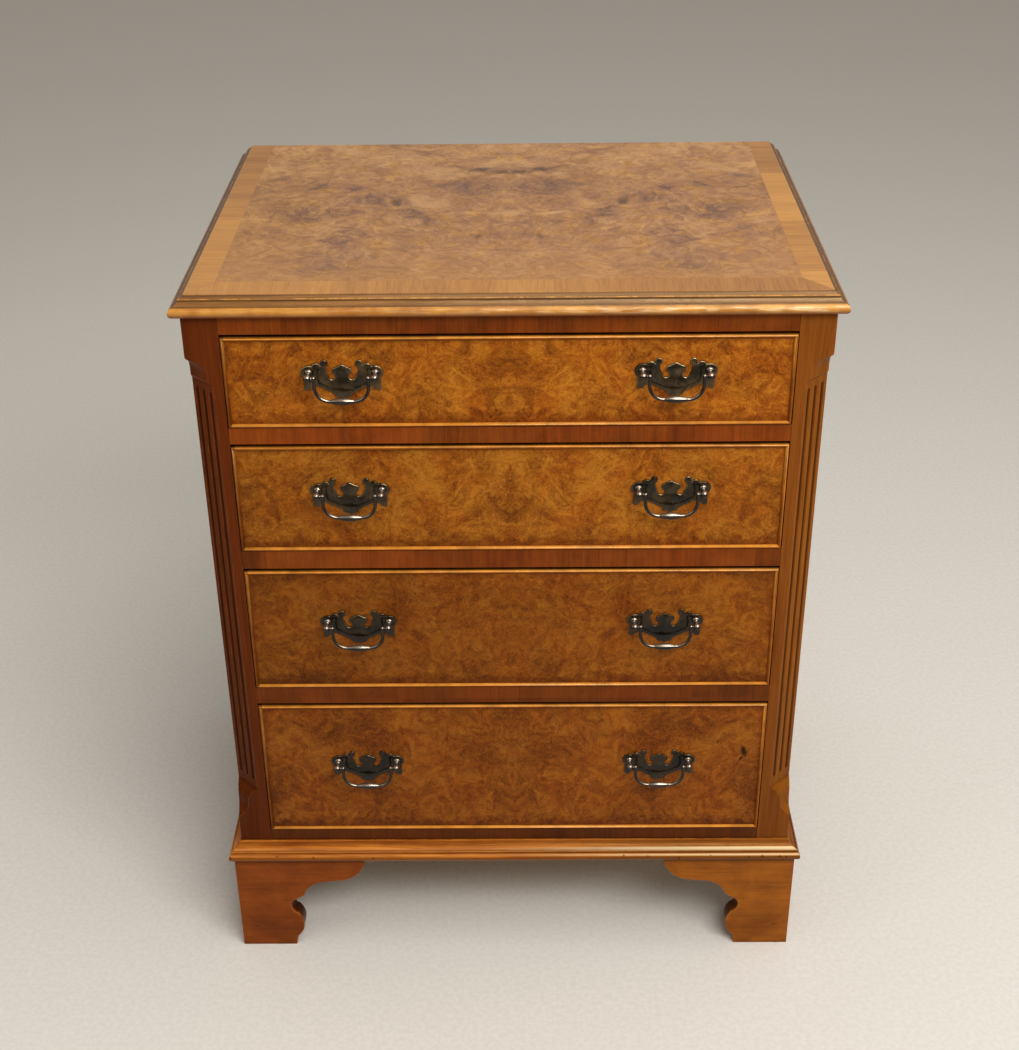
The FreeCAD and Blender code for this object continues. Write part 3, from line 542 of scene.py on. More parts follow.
def drawer_veneer(name, colours, number):
    """Book-matched burr of one drawer front, with polish gathered and painted shade against the bead."""
    material, shader, place = new_material(name)
    low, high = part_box(f"drawer_{number}_front")
    x, _, z = split(place)
    across, _, up = split(warped(place, 12.0, 0.02))
    folded = join(abs(across), 0.0, up)
    leaf = vector_calc("ADD", folded, (number * 0.71, 0.3, 2.0))
    burr = use("Burr figure", Vector=leaf, Scale=1.5, Clouds=0.9, Fine=0.9)
    flecks = noise(warped(place, 60.0, 0.014), 230.0, 3.0, 0.6, 1.2)
    tone = burr["Tone"] + fade(flecks, 0.54, 0.64) * 0.16 - fade(flecks, 0.42, 0.32) * 0.14
    base = ramp(tone.clamped(), ((0.05, colours.front_dark), (0.5, colours.front_mid),
                                 (0.95, colours.front_light)))
    # painted shade: the lower drawers darker
    base = stained(base, DRAWER_HEIGHT_SHADE[number])
    warm = fade(noise(folded, 26.0, 3.0), 0.4, 0.62)
    base = mix(warm * 0.55, base, stained(base, (1.02, 0.78, 0.55)))
    ragged = (noise(place, 95.0, 4.0, 0.7) - 0.3) * 0.022
    rim = use("Rim distance", Vector=place, Centre=(low + high) / 2, Half=(high - low) / 2)["Distance"]
    # gathered polish and painted shade along the edges and the foot of the front
    edge = fade(rim - ragged, -0.004, 0.006, 1.0, 0.0)
    foot = fade(z - (low.z + 0.004) - ragged * 1.6, -0.004, 0.006, 1.0, 0.0)
    base = mix(calc("MAXIMUM", edge * 0.6, foot * 0.85), base, stained(base, RED_SHADE))
    # painted shade, darker towards the left end
    base = shaded(base, fade(x, -0.26, 0.12, 1.0, 0.0), DRAWER_SHADE[number], 0.3)
    base = shaded(base, burr["Eyes"], 0.6)
    if number == 4:
        base = shaded(base, spots(warped(join(x, z, 0.0), 150.0, 0.006), DRAWER_KNOT), 1.0, 0.05)
    polish(shader, base, place, 0.36, depth=0.0001)
    return material


RAIL_JOINT = 0.2622  # middle of a rail to the joint of its darker end pieces
PATCH_START = 0.2425  # and to the dark patches at the ends of the rail under the top drawer


def rail_veneer(name, colours):
    """Crossbanding of the rails: upright grain in pieces side by side."""
    material, shader, place = new_material(name)
    x, _, z = split(place)
    storey = calc("FLOOR", z * 9.0)
    cells = out("ShaderNodeTexVoronoi", {"voronoi_dimensions": "1D"}, "Color", Scale=7.0, W=x + storey * 3.7)
    piece = split(cells)[0]
    grain = use("Grain", Vector=place, Stretch=(230, 40, 5))
    cloudy = fade(noise(warped(place, 20.0, 0.02), 28.0, 4.0, 0.6), 0.35, 0.65)
    tone = grain["Tone"] * 0.45 + piece * 0.34 + cloudy * 0.3 - 0.08
    base = mix(tone.clamped(), colours.rail_dark, colours.rail_light)
    base = shaded(base, grain["Pores"], 0.4)
    redder = fade(noise(place, 17.0, 3.0), 0.4, 0.6)
    base = mix(redder * 0.5, base, stained(base, (1.12, 0.84, 0.8)))
    base = shaded(base, fade(abs(x), RAIL_JOINT - 0.0004, RAIL_JOINT + 0.0004), 0.55, 0.3)
    # painted shade: the lower rails darker
    base = shaded(base, fade(z, 0.15, 0.59, 1.0, 0.0), 0.88, 0.3)
    # painted shadow under the nose of the top
    base = shaded(base, fade(z, 0.68, 0.75), 0.16, 0.3)
    base = shaded(base, (abs(x + 0.004) > PATCH_START) * (abs(z - 0.5) < 0.03), 0.45, 0.3)
    base = mix(arris_mask(place, 0.35), base, colours.rail_light)
    polish(shader, base, place, 0.34, grain["Tone"])
    return material


SQUARE_CORNER = 0.296  # middle of the case to its side
CANT = (0.0232, 0.0225)  # cut off a corner post, across and front to back


def upright_walnut(name, colours, stretch):
    """Posts and sides: straight upright grain, painted darker and redder at the left as shade, lighter at the
    right.
    """
    material, shader, place = new_material(name)
    x, y, z = split(place)
    grain = use("Grain", Vector=place, Stretch=stretch)
    # painted light: darker and redder to the left, lighter to the right
    ground = mix(fade(x, -0.2, 0.2), colours.post_red, colours.post_gold)
    base = mix(grain["Tone"], stained(ground, (0.72, 0.66, 0.6)), stained(ground, (1.22, 1.26, 1.3)))
    base = shaded(base, grain["Pores"], 0.3)
    # painted shade: darker towards the bottom, less so at the right
    base = shaded(base, fade(z, 0.1, 0.5, 1.0, 0.0) * fade(x, -0.2, 0.2, 1.0, 0.6), 0.45, 0.3)
    # the cut corner, and painted shade in its flutes by how deep they lie below it
    wide, deep = CANT
    slope = math.hypot(wide, deep)
    beyond = abs(x) - (SQUARE_CORNER - wide)
    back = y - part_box("frieze_rail")[0].y
    depth = back * (wide / slope) - beyond * (deep / slope)
    inside = fade(beyond, 0.0004, 0.0012) * fade(back, deep - 0.0012, deep - 0.0004, 1.0, 0.0)
    base = shaded(base, fade(depth, 0.0004, 0.0018) * inside, 0.92, 0.2)
    base = mix(arris_mask(place, 0.45), base, times(colours.post_gold, 1.7))
    # painted light: the faces of the cut corner made lighter and yellower, chosen by which way they face
    sideways, forwards, _ = facing(place)
    canted = fade(abs(sideways * forwards), 0.15, 0.35) * inside
    base = mix(canted, base, stained(base, (1.2, 1.32, 1.1)))
    polish(shader, base, place, 0.36, grain["Tone"], shine=fade(canted, 0.0, 1.0, 0.15, 0.03))
    return material


# ---------------------------------------------------------------- mouldings, feet and beads

# Both mouldings by height, as shares from foot to head: how much painted shade, with some gathered polish,
# darkens the quirks and hollows, and where painted highlights lie on the crests.
TOP_QUIRK_SHADE = ((0.0, 1.0), (0.14, 0.8), (0.25, 0.35), (0.33, 0.0), (0.52, 0.0), (0.55, 0.6), (0.58, 0.3),
              (0.64, 0.0), (0.76, 0.0), (0.79, 1.0), (0.83, 0.9), (0.85, 0.0), (0.95, 0.1), (0.985, 1.0))
TOP_NOSE_HIGHLIGHT = ((0.2, 0.35), (0.34, 1.0), (0.44, 1.0), (0.5, 0.0))
TOP_LEDGES = ((0.52, 0.0), (0.56, 1.0))
TOP_BEAD_HIGHLIGHT = ((0.855, 0.0), (0.865, 0.8), (0.878, 0.8), (0.888, 0.0))
BASE_QUIRK_SHADE = ((0.0, 1.0), (0.28, 0.9), (0.36, 0.0), (0.42, 0.0), (0.47, 1.0), (0.52, 0.9), (0.54, 0.2),
               (0.6, 0.1), (0.617, 0.9), (0.63, 0.0), (0.68, 0.0), (0.72, 0.5), (0.9, 0.7), (0.93, 0.0),
               (0.985, 0.2), (0.995, 1.0))
BASE_CREST_HIGHLIGHT = ((0.34, 0.0), (0.37, 0.7), (0.41, 0.7), (0.44, 0.0), (0.605, 0.0), (0.625, 1.0), (0.655, 1.0),
               (0.68, 0.0))


def top_moulding_wood(name, colours, stretch, dim=0.0):
    """Moulding under the top: painted shade and gathered polish in its quirks, amber on the nose, painted
    highlights.
    """
    material, shader, place = new_material(name)
    low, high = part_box("top_moulding_front")
    x, _, z = split(place)
    level = fade(z, low.z, high.z, smooth=False)
    grain = use("Grain", Vector=place, Stretch=stretch)
    uneven = fade(noise(place, 45.0, 4.0), 0.3, 0.7) * 0.6 + grain["Tone"] * 0.4
    amber = mix(uneven, colours.nose_dark, colours.nose)
    streaks = fade(noise(vector_calc("MULTIPLY", place, (0.12, 1, 1)), 330.0, 4.0, 0.65), 0.44, 0.64)
    # painted highlight along the upper nose, stronger to the right
    crest = ramp(level, TOP_NOSE_HIGHLIGHT) * fade(x, -0.2, 0.3, 0.1, 0.75)
    amber = mix(streaks * crest, amber, colours.crest_highlight)
    ledges = mix(grain["Tone"], colours.ledge_dark, colours.ledge_light)
    base = mix(ramp(level, TOP_LEDGES), amber, ledges)
    # painted highlight along the small bead under the top edge
    edge = ramp(level, TOP_BEAD_HIGHLIGHT) * fade(noise(place, 130.0, 4.0, 0.6), 0.42, 0.6, 0.2, 1.0)
    base = mix(edge, base, colours.nose)
    # painted shade in the quirks
    base = shaded(base, ramp(level, TOP_QUIRK_SHADE), 0.85, 0.3)
    # painted shade on the underside of the nose
    base = mix(fade(level, 0.05, 0.26, 0.8, 0.0), base, colours.foot_red)
    base = mix(arris_mask(place, 0.3), base, colours.nose)
    # painted shade on the returns, which face sideways
    base = mix(dim, base, darker(base, 0.45))
    polish(shader, base, place, 0.28, grain["Tone"], depth=0.0005, shine=0.65, glow=STRAW)
    return material


def base_moulding_wood(name, colours, stretch, crest_highlight=0.0):
    """Moulding round the foot of the case: painted shade and gathered polish in its quirks, a painted
    highlight on its crests.
    """
    material, shader, place = new_material(name)
    low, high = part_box("base_moulding_front")
    level = fade(split(place)[2], low.z, high.z, smooth=False)
    grain = use("Grain", Vector=place, Stretch=stretch)
    base = mix(grain["Tone"], colours.moulding_dark, colours.moulding_light)
    # painted shade in the quirks, the hollows and under the bead
    base = shaded(base, ramp(level, BASE_QUIRK_SHADE), 0.85, 0.3)
    along = split(warped(place, 30.0, 0.1))[0]
    # painted shade, darker towards the right
    base = shaded(base, fade(along, -0.1, 0.25), 0.62, 0.3)
    # painted highlight on the crests, stronger to the right, on the front run only
    bright = ramp(level, BASE_CREST_HIGHLIGHT) * fade(along, -0.04, 0.24, 0.08, 1.0) * crest_highlight
    base = mix(bright, base, times(colours.crest_highlight, 1.3))
    dents = fade(noise(vector_calc("MULTIPLY", place, (1, 1, 0.6)), 150.0, 2.0), 0.66, 0.7)
    base = shaded(base, dents * fade(level, 0.5, 0.45), 0.8)
    base = mix(arris_mask(place, 0.4), base, colours.bead)
    polish(shader, base, place, 0.26, grain["Tone"] - dents * 3.0, depth=0.0003, shine=0.35)
    return material


def foot_wood(name, colours):
    """Feet: level grain round the corner, mottled, with a few old marks."""
    material, shader, place = new_material(name)
    x, y, z = split(place)
    along = join(abs(x) + abs(y), 0.0, z)
    grain = use("Grain", Vector=along, Stretch=(5, 1, 70))
    cloud = fade(noise(along, 22.0, 4.0, 0.6, 0.8), 0.32, 0.68)
    # painted light: darker and redder to the left, lighter to the right
    ground = mix(fade(x, -0.1, 0.1), colours.foot_red, colours.foot_gold)
    base = mix(grain["Tone"] * 0.55 + cloud * 0.45, stained(ground, (0.6, 0.52, 0.45)),
               stained(ground, (1.35, 1.42, 1.5)))
    base = shaded(base, grain["Pores"], 0.3)
    marks = fade(noise(vector_calc("MULTIPLY", along, (1, 1, 2.2)), 75.0, 2.0), 0.7, 0.76)
    base = shaded(base, marks, 0.7)
    base = shaded(base, fade(z, 0.0, 0.075, 1.0, 0.0) * fade(noise(along, 30.0, 4.0), 0.3, 0.6), 0.5, 0.4)
    # painted shadow under the base moulding
    base = shaded(base, fade(z, 0.115, 0.124), 0.75, 0.25)
    # painted shade, and dark stain, on the inner faces, by how far they lie behind the outer ones
    low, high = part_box("foot_front_right")
    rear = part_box("foot_rear_right")[1].y
    inside = calc("MINIMUM", high.x - abs(x), calc("MINIMUM", y - low.y, rear - y))
    base = shaded(base, fade(inside, 0.001, 0.005), 0.9, 0.15)
    base = mix(arris_mask(place, 0.35), base, colours.moulding_light)
    polish(shader, base, place, 0.38, grain["Tone"])
    return material


BEAD_WIDTH = 0.0035


def bead_wood(name, colours):
    """Light walnut of the cockbeads, with painted shade on the strips that don't face up, most on the left
    ones, and in the gaps.
    """
    material, shader, place = new_material(name)
    x, y, _ = split(place)
    base = mix(fade(noise(place, 60.0, 4.0, 0.6), 0.3, 0.7), times(colours.bead, 0.7), colours.bead)
    # painted shade: the upright strips, which don't face up, darker and redder
    above = fade(facing(place)[2], -0.1, 0.5)
    base = mix(above, stained(base, (0.45, 0.31, 0.2)), base)
    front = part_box("frieze_rail")[0].y
    # painted shade where the bead runs back into the gap behind the rails' front
    base = shaded(base, fade(y, front - 0.0002, front + 0.0006), 0.95, 0.1)
    base = shaded(base, fade(noise(place, 25.0, 4.0), 0.5, 0.66), 0.3)
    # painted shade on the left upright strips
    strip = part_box("drawer_4_cockbead")[0].x + BEAD_WIDTH
    base = shaded(base, fade(x, strip - 0.0003, strip + 0.0003, 1.0, 0.0), 0.68, 0.3)
    polish(shader, base, place, 0.24, shine=fade(above, 0.0, 1.0, 0.15, 0.7), glow=STRAW)
    return material


# ---------------------------------------------------------------- bare timber and metal

def bare_wood(name, timber, stretch):
    """Unpolished timber of the drawer boxes and the back."""
    material, shader, place = new_material(name)
    grain = use("Grain", Vector=place, Stretch=stretch)
    base = mix(grain["Tone"], times(timber, 0.66), timber)
    base = mix(grain["Pores"] * 0.3, base, times(timber, 0.35))
    dust = fade(noise(place, 7.0, 4.0), 0.35, 0.7, 0.0, 0.25)
    feed(shader["Base Color"], mix(dust, base, times(timber, 0.7)))
    feed(shader["Roughness"], fade(grain["Tone"], 0.2, 0.8, 0.52, 0.72))
    feed(shader["Normal"], bump(grain["Tone"], 0.4, 0.0003))
    return material


DIM_HANDLES = (0.36, 0.72)  # handles are shaded below the second height, and most below the first


def antique_brass(name, ground, worn, from_above, rough, lacquer):
    """Dark lacquered metal: worn rims, and painted light making the upper rims and what faces up bright."""
    material, shader, place = new_material(name)
    upwards = facing(place)[2]
    cloud = fade(noise(place, 48.0, 4.0, 0.6), 0.4, 0.6)
    base = mix(cloud * 0.95, ground, times(ground, 0.25))
    base = mix(fade(noise(place, 150.0, 4.0), 0.5, 0.68) * 0.4, base, times(ground, 2.2))
    # worn rims, and painted light on the upper rims and on faces that look up
    rim = arris_mask(place, 0.7) * fade(upwards, -0.3, 0.5, 0.25, 1.0)
    base = mix(calc("MAXIMUM", rim, fade(upwards, 0.15, 0.8) * from_above), base, worn)
    lower = fade(split(place)[2], *DIM_HANDLES, 1.0, 0.0)
    feed(shader["Base Color"], shaded(base, lower, 0.85 - 0.8 * from_above))
    feed(shader["Metallic"], 0.9)
    feed(shader["Roughness"], fade(cloud, 0.0, 1.0, rough, rough + 0.1))
    feed(shader["Coat Weight"], lacquer)
    feed(shader["Coat Roughness"], 0.1)
    feed(shader["Normal"], bump(noise(place, 220.0, 3.0), 0.25, 0.0002))
    return material


def floor_finish(name, shade):
    """Plain pale floor, a little uneven."""
    material, shader, place = new_material(name)
    feed(shader["Base Color"], mix(fade(noise(place, 180.0, 3.0), 0.3, 0.7), times(shade, 0.93), shade))
    feed(shader["Roughness"], 0.9)
    return material


def materials(context):
    """Every finish by name, made once."""
    if "Burr figure" not in bpy.data.node_groups:
        for make_group in (burr_group, grain_group, spot_group, rim_group, wear_group):
            make_group()
    sizes, colours = context.scene.chest_sizes, context.scene.chest_colours
    makers = {
        "Top veneer": (top_veneer, colours, sizes),
        "Rail crossbanding": (rail_veneer, colours),
        "Post walnut": (upright_walnut, colours, (75, 75, 2.5)),
        "Side walnut": (upright_walnut, colours, (32, 32, 1.6)),
        "Top moulding walnut": (top_moulding_wood, colours, (3, 80, 80)),
        # the top returns take painted shade, and only the front of the base moulding takes the painted
        # highlight
        "Top return walnut": (top_moulding_wood, colours, (80, 3, 80), 0.75),
        "Base moulding walnut": (base_moulding_wood, colours, (3, 80, 80), 0.75),
        "Base return walnut": (base_moulding_wood, colours, (80, 3, 80)),
        "Foot walnut": (foot_wood, colours),
        "Cockbead walnut": (bead_wood, colours),
        "Oak, front to back": (bare_wood, colours.lining, (90, 2.5, 90)),
        "Oak, across": (bare_wood, colours.lining, (2.5, 90, 90)),
        "Back plywood": (bare_wood, colours.plywood, (40, 40, 1.8)),
        "Antique brass": (antique_brass, colours.brass, colours.brass_worn, 0.0, 0.34, 0.4),
        "Dark bails": (antique_brass, colours.iron, colours.bail_worn, 0.8, 0.24, 0.5),
        **{f"Drawer {number} veneer": (drawer_veneer, colours, number) for number in DRAWERS},
    }
    return {name: bpy.data.materials.get(name) or make(name, *given)
            for name, (make, *given) in makers.items()}


# ---------------------------------------------------------------- meshes

ROUNDED = math.radians(28.0)  # an outer edge sharper than this is rounded over
CREASE = math.radians(40.0)  # and one that is still sharper than this keeps its crease
TURNED_CREASE = math.radians(35.0)
PLATE_CREASE = math.radians(50.0)
PLATE_RIM = ((0.35, 0.6), (0.65, 0.4))  # steps of a plate's rounded rim, inwards and up, as shares of it


def new_object(name, mesh):
    """Object in the scene, at the origin."""
    thing = bpy.data.objects.new(name, mesh)
    SCENE.collection.objects.link(thing)
    return thing


def finished(thing):
    """The plain mesh that an object's modifiers make."""
    depsgraph = bpy.context.evaluated_depsgraph_get()
    depsgraph.update()
    mesh = bpy.data.meshes.new_from_object(thing.evaluated_get(depsgraph))
    thing.modifiers.clear()
    return mesh


def merged_copy(node, flat=0.4, rounded=False):
    """Copy of a solid, its points joined, its flat faces whole, and its outer arrises marked for a bevel."""
    mesh = frame["nodes"][node].data.copy()
    mesh.name = node + "_finish"
    shape = bmesh.new()
    shape.from_mesh(mesh)
    bmesh.ops.remove_doubles(shape, verts=shape.verts, dist=1e-6)
    bmesh.ops.dissolve_limit(shape, angle_limit=math.radians(flat), verts=shape.verts, edges=shape.edges)
    if rounded:
        weight = shape.edges.layers.float.new("bevel_weight_edge")
        for edge in shape.edges:
            edge[weight] = float(edge.is_manifold and edge.is_convex and edge.calc_face_angle() > ROUNDED)
    shape.to_mesh(mesh)
    shape.free()
    return new_object(mesh.name, mesh)


def shade_smooth(mesh, crease):
    """Shade a mesh smooth, but for its creases."""
    mesh.polygons.foreach_set("use_smooth", [True] * len(mesh.polygons))
    mesh.set_sharp_from_angle(angle=crease)


def store_arris(mesh, worn=()):
    """Mark the worn faces of a mesh for its material."""
    values = [0.0] * len(mesh.loops)
    for index in worn:
        for loop in mesh.polygons[index].loop_indices:
            values[loop] = 1.0
    mesh.attributes.new("arris", "FLOAT", "CORNER").data.foreach_set("value", values)


def dress(thing, node, material, body):
    """Give a finished piece its material, slot and body, and hide the solid it stands for."""
    thing.data.materials.clear()
    thing.data.materials.append(material)
    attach(thing, body)
    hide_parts(node)


def softened(node, width, material, body):
    """Copy of a solid with its arrises rounded over and marked as worn."""
    thing = merged_copy(node, rounded=True)
    thing.data.materials.clear()
    for _ in ("plain", "worn"):
        thing.data.materials.append(material)
    thing.data.polygons.foreach_set("material_index", [0] * len(thing.data.polygons))
    bevel = thing.modifiers.new("Arris", "BEVEL")
    bevel.width = width
    bevel.segments = 2
    bevel.limit_method = "WEIGHT"
    bevel.use_clamp_overlap = False
    bevel.loop_slide = False
    bevel.material = 1
    mesh = thing.data = finished(thing)
    low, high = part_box(node)
    for vert in mesh.vertices:
        vert.co = [min(max(value, least), most) for value, least, most in zip(vert.co, low, high)]
    store_arris(mesh, [face.index for face in mesh.polygons if face.material_index == 1])
    mesh.polygons.foreach_set("material_index", [0] * len(mesh.polygons))
    shade_smooth(mesh, CREASE)
    flat = thing.modifiers.new("Flat faces", "WEIGHTED_NORMAL")
    flat.keep_sharp = True
    thing.data = finished(thing)
    dress(thing, node, material, body)


def smoothed(node, material, body):
    """Copy of a turned or rounded solid, shaded smooth."""
    thing = merged_copy(node, flat=0.01)
    shade_smooth(thing.data, TURNED_CREASE)
    store_arris(thing.data)
    dress(thing, node, material, body)


def chamfered_plates(number, chamfer, material):
    """Pair of backplates with a rounded rim."""
    node = f"drawer_{number}_backplates"
    thing = merged_copy(node, flat=0.01)
    shape = bmesh.new()
    shape.from_mesh(thing.data)
    front = [face for face in shape.faces if face.normal.y < -0.9]
    rim = {vert for face in front for vert in face.verts}
    bmesh.ops.translate(shape, verts=list(rim), vec=(0, chamfer, 0))
    worn = []
    for inwards, up in PLATE_RIM:
        step = bmesh.ops.inset_region(shape, faces=front, thickness=inwards * chamfer, depth=up * chamfer,
                                      use_even_offset=True, use_boundary=True)
        worn += step["faces"]
    bmesh.ops.recalc_face_normals(shape, faces=shape.faces)
    shape.faces.index_update()
    indices = [face.index for face in worn]
    shape.to_mesh(thing.data)
    shape.free()
    store_arris(thing.data, indices)
    shade_smooth(thing.data, PLATE_CREASE)
    dress(thing, node, material, f"drawer_{number}")


# ---------------------------------------------------------------- grown pieces

def new_growth(name, **inputs):
    """Empty Geometry Nodes tree: a number, or a material where the default is None, for each input."""
    tree = bpy.data.node_groups.new(name, "GeometryNodeTree")
    tree.interface.new_socket("Geometry", in_out="INPUT", socket_type="NodeSocketGeometry")
    for key, default in inputs.items():
        kind = "NodeSocketMaterial" if default is None else "NodeSocketFloat"
        socket = tree.interface.new_socket(key.replace("_", " "), in_out="INPUT", socket_type=kind)
        if default is not None:
            socket.default_value = default
    tree.interface.new_socket("Geometry", in_out="OUTPUT", socket_type="NodeSocketGeometry")
    return tree, {socket.name: Flow(socket) for socket in tree.nodes.new("NodeGroupInput").outputs}


def end_growth(tree, parts, metal):
    """End of a tree: its parts as one real mesh, shaded smooth, in their metal."""
    both = tree.nodes.new("GeometryNodeJoinGeometry")
    for part in parts:
        feed(both.inputs[0], part)
    solid = out("GeometryNodeRealizeInstances", Geometry=Flow(both.outputs[0]))
    smooth = out("GeometryNodeSetShadeSmooth", Geometry=solid)
    coated = out("GeometryNodeSetMaterial", Geometry=smooth, Material=metal)
    feed(tree.nodes.new("NodeGroupOutput").inputs[0], coated)
    return tree


def grow(name, points, tree, cyclic=False, **values):
    """Run a tree on a line of straight runs, with its own values, and keep the plain mesh."""
    curve = bpy.data.curves.new(name, "CURVE")
    curve.dimensions = "3D"
    spline = curve.splines.new("POLY")
    spline.points.add(len(points) - 1)
    for point, spot in zip(spline.points, points):
        point.co = (*spot, 1.0)
    spline.use_cyclic_u = cyclic
    line = new_object(name + "_line", curve)
    modifier = line.modifiers.new(tree.name, "NODES")
    modifier.node_group = tree
    for item in tree.interface.items_tree:
        key = item.name.lower().replace(" ", "_")
        if item.in_out == "INPUT" and key in values:
            modifier[item.identifier] = values[key]
    mesh = finished(line)
    mesh.name = name
    store_arris(mesh)
    bpy.data.objects.remove(line)
    bpy.data.curves.remove(curve)
    return new_object(name, mesh)


def bail_tree():
    """A bail along a bent path: swelled wire, a knuckle at each end and the pins it swings on."""
    tree, given = new_growth("Bail", Wire=0.0017, Swell=0.0034, Bend=0.014, Knuckle=0.002, Pin=0.0013,
                             Pin_length=0.0079, Grip=0.0111, Middle=0.0, Metal=None)
    path = out("GeometryNodeFilletCurve", {"mode": "POLY"}, Curve=given["Geometry"], Count=16,
               Radius=given["Bend"])
    fine = out("GeometryNodeResampleCurve", {"mode": "LENGTH"}, Curve=path, Length=0.0006)
    aside = split(out("GeometryNodeInputPosition", tree=tree))[0] - given["Middle"]
    share = (abs(aside) / given["Grip"]).clamped()
    on_grip = abs(out("GeometryNodeSplineParameter", output="Factor", tree=tree) - 0.5) < 0.3
    hump = (1.0 - share * share) * on_grip
    ring = out("GeometryNodeCurvePrimitiveCircle", {"mode": "RADIUS"}, tree=tree, Resolution=20, Radius=1.0)
    wire = out("GeometryNodeCurveToMesh", Curve=fine, Profile_Curve=ring, Fill_Caps=True,
               Scale=given["Wire"] + hump * (given["Swell"] - given["Wire"]))
    ends = out("GeometryNodeCurveEndpointSelection", tree=tree)
    ball = out("GeometryNodeMeshUVSphere", Segments=24, Rings=16, Radius=given["Knuckle"])
    knuckles = out("GeometryNodeInstanceOnPoints", Points=given["Geometry"], Selection=ends, Instance=ball)
    pin = out("GeometryNodeMeshCylinder", Vertices=20, Radius=given["Pin"], Depth=given["Pin length"])
    laid = out("GeometryNodeTransform", Geometry=pin, Rotation=(0, math.pi / 2, 0),
               Translation=join(given["Pin length"] * 0.5, 0.0, 0.0))
    turn = join(0.0, 0.0, (1.0 - calc("SIGN", aside)) * (math.pi / 2))
    pins = out("GeometryNodeInstanceOnPoints", Points=given["Geometry"], Selection=ends, Instance=laid,
               Rotation=turn)
    return end_growth(tree, (pins, knuckles, wire), given["Metal"])


def pin_tree():
    """Panel pins at even steps along a line, each a low head driven flush."""
    tree, given = new_growth("Panel pins", Spacing=0.075, Head=0.0013, Metal=None)
    steps = out("GeometryNodeCurveToPoints", {"mode": "LENGTH"}, Curve=given["Geometry"],
                Length=given["Spacing"])
    ball = out("GeometryNodeMeshUVSphere", Segments=12, Rings=8, Radius=given["Head"])
    head = out("GeometryNodeTransform", Geometry=ball, Scale=(1.0, 0.03, 1.0))
    pins = out("GeometryNodeInstanceOnPoints", Points=steps, Instance=head)
    return end_growth(tree, (pins,), given["Metal"])


# ---------------------------------------------------------------- operators

class ChestStep(bpy.types.Operator):
    """One group of pieces of the chest"""
    bl_options = {"REGISTER", "UNDO"}


class CHEST_OT_top(ChestStep):
    """Veneer the top board and polish its moulding"""
    bl_idname = "chest.top"
    bl_label = "Top"

    def execute(self, context):
        finish = materials(context)
        arris = context.scene.chest_sizes.arris * 0.5
        softened("top_board", arris, finish["Top veneer"], "case")
        for run, wood in (("front", "moulding"), ("left", "return"), ("right", "return")):
            softened("top_moulding_" + run, arris, finish[f"Top {wood} walnut"], "case")
        return {"FINISHED"}


class CHEST_OT_case(ChestStep):
    """Side panels, fluted corner posts, crossbanded rails and the boards behind them"""
    bl_idname = "chest.case"
    bl_label = "Case"

    def execute(self, context):
        finish = materials(context)
        arris = context.scene.chest_sizes.arris
        for side in SIDES:
            softened("side_panel_" + side, arris, finish["Side walnut"], "case")
            softened("corner_post_" + side, arris, finish["Post walnut"], "case")
        for rail in ("frieze_rail", "bottom_rail", "drawer_rail_1", "drawer_rail_2", "drawer_rail_3"):
            softened(rail, arris, finish["Rail crossbanding"], "case")
        softened("back_panel", arris, finish["Back plywood"], "case")
        for node, wood in (("bottom_board", "Oak, across"), ("drawer_runners", "Oak, front to back"),
                           ("drawer_stops", "Oak, across")):
            softened(node, arris, finish[wood], "case")
        return {"FINISHED"}


class CHEST_OT_base(ChestStep):
    """Base moulding and bracket feet"""
    bl_idname = "chest.base"
    bl_label = "Base"

    def execute(self, context):
        finish = materials(context)
        sizes = context.scene.chest_sizes
        for run, wood in (("front", "moulding"), ("left", "return"), ("right", "return")):
            softened("base_moulding_" + run, sizes.arris, finish[f"Base {wood} walnut"],
                     "case")
        for end in ("front", "rear"):
            for side in SIDES:
                softened(f"foot_{end}_{side}", sizes.foot_arris, finish["Foot walnut"],
                         "case")
        return {"FINISHED"}


class CHEST_OT_back_pins(ChestStep):
    """Panel pins round the edge of the back"""
    bl_idname = "chest.back_pins"
    bl_label = "Back pins"

    def execute(self, context):
        sizes = context.scene.chest_sizes
        low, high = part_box("back_panel")
        left, right = low.x + sizes.pin_inset, high.x - sizes.pin_inset
        foot, head = low.z + sizes.pin_inset, high.z - sizes.pin_inset
        corners = [(x, high.y, z) for x, z in ((left, foot), (right, foot), (right, head), (left, head))]
        pins = grow("back_panel_pins", corners, pin_tree(), cyclic=True, spacing=sizes.pin_spacing,
                    head=sizes.pin_head, metal=materials(context)["Antique brass"])
        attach(pins, "case")
        return {"FINISHED"}


class CHEST_OT_drawers(ChestStep):
    """Drawer fronts, cockbeads and dovetailed boxes"""
    bl_idname = "chest.drawers"
    bl_label = "Drawers"

    def execute(self, context):
        finish = materials(context)
        arris = context.scene.chest_sizes.arris * 0.5
        for number in DRAWERS:
            drawer = f"drawer_{number}"
            softened(drawer + "_front", arris, finish[f"Drawer {number} veneer"], drawer)
            smoothed(drawer + "_cockbead", finish["Cockbead walnut"], drawer)
            for part, wood in (("sides", "Oak, front to back"), ("back", "Oak, across"),
                               ("bottom", "Oak, across")):
                softened(f"{drawer}_{part}", arris, finish[wood], drawer)
        return {"FINISHED"}


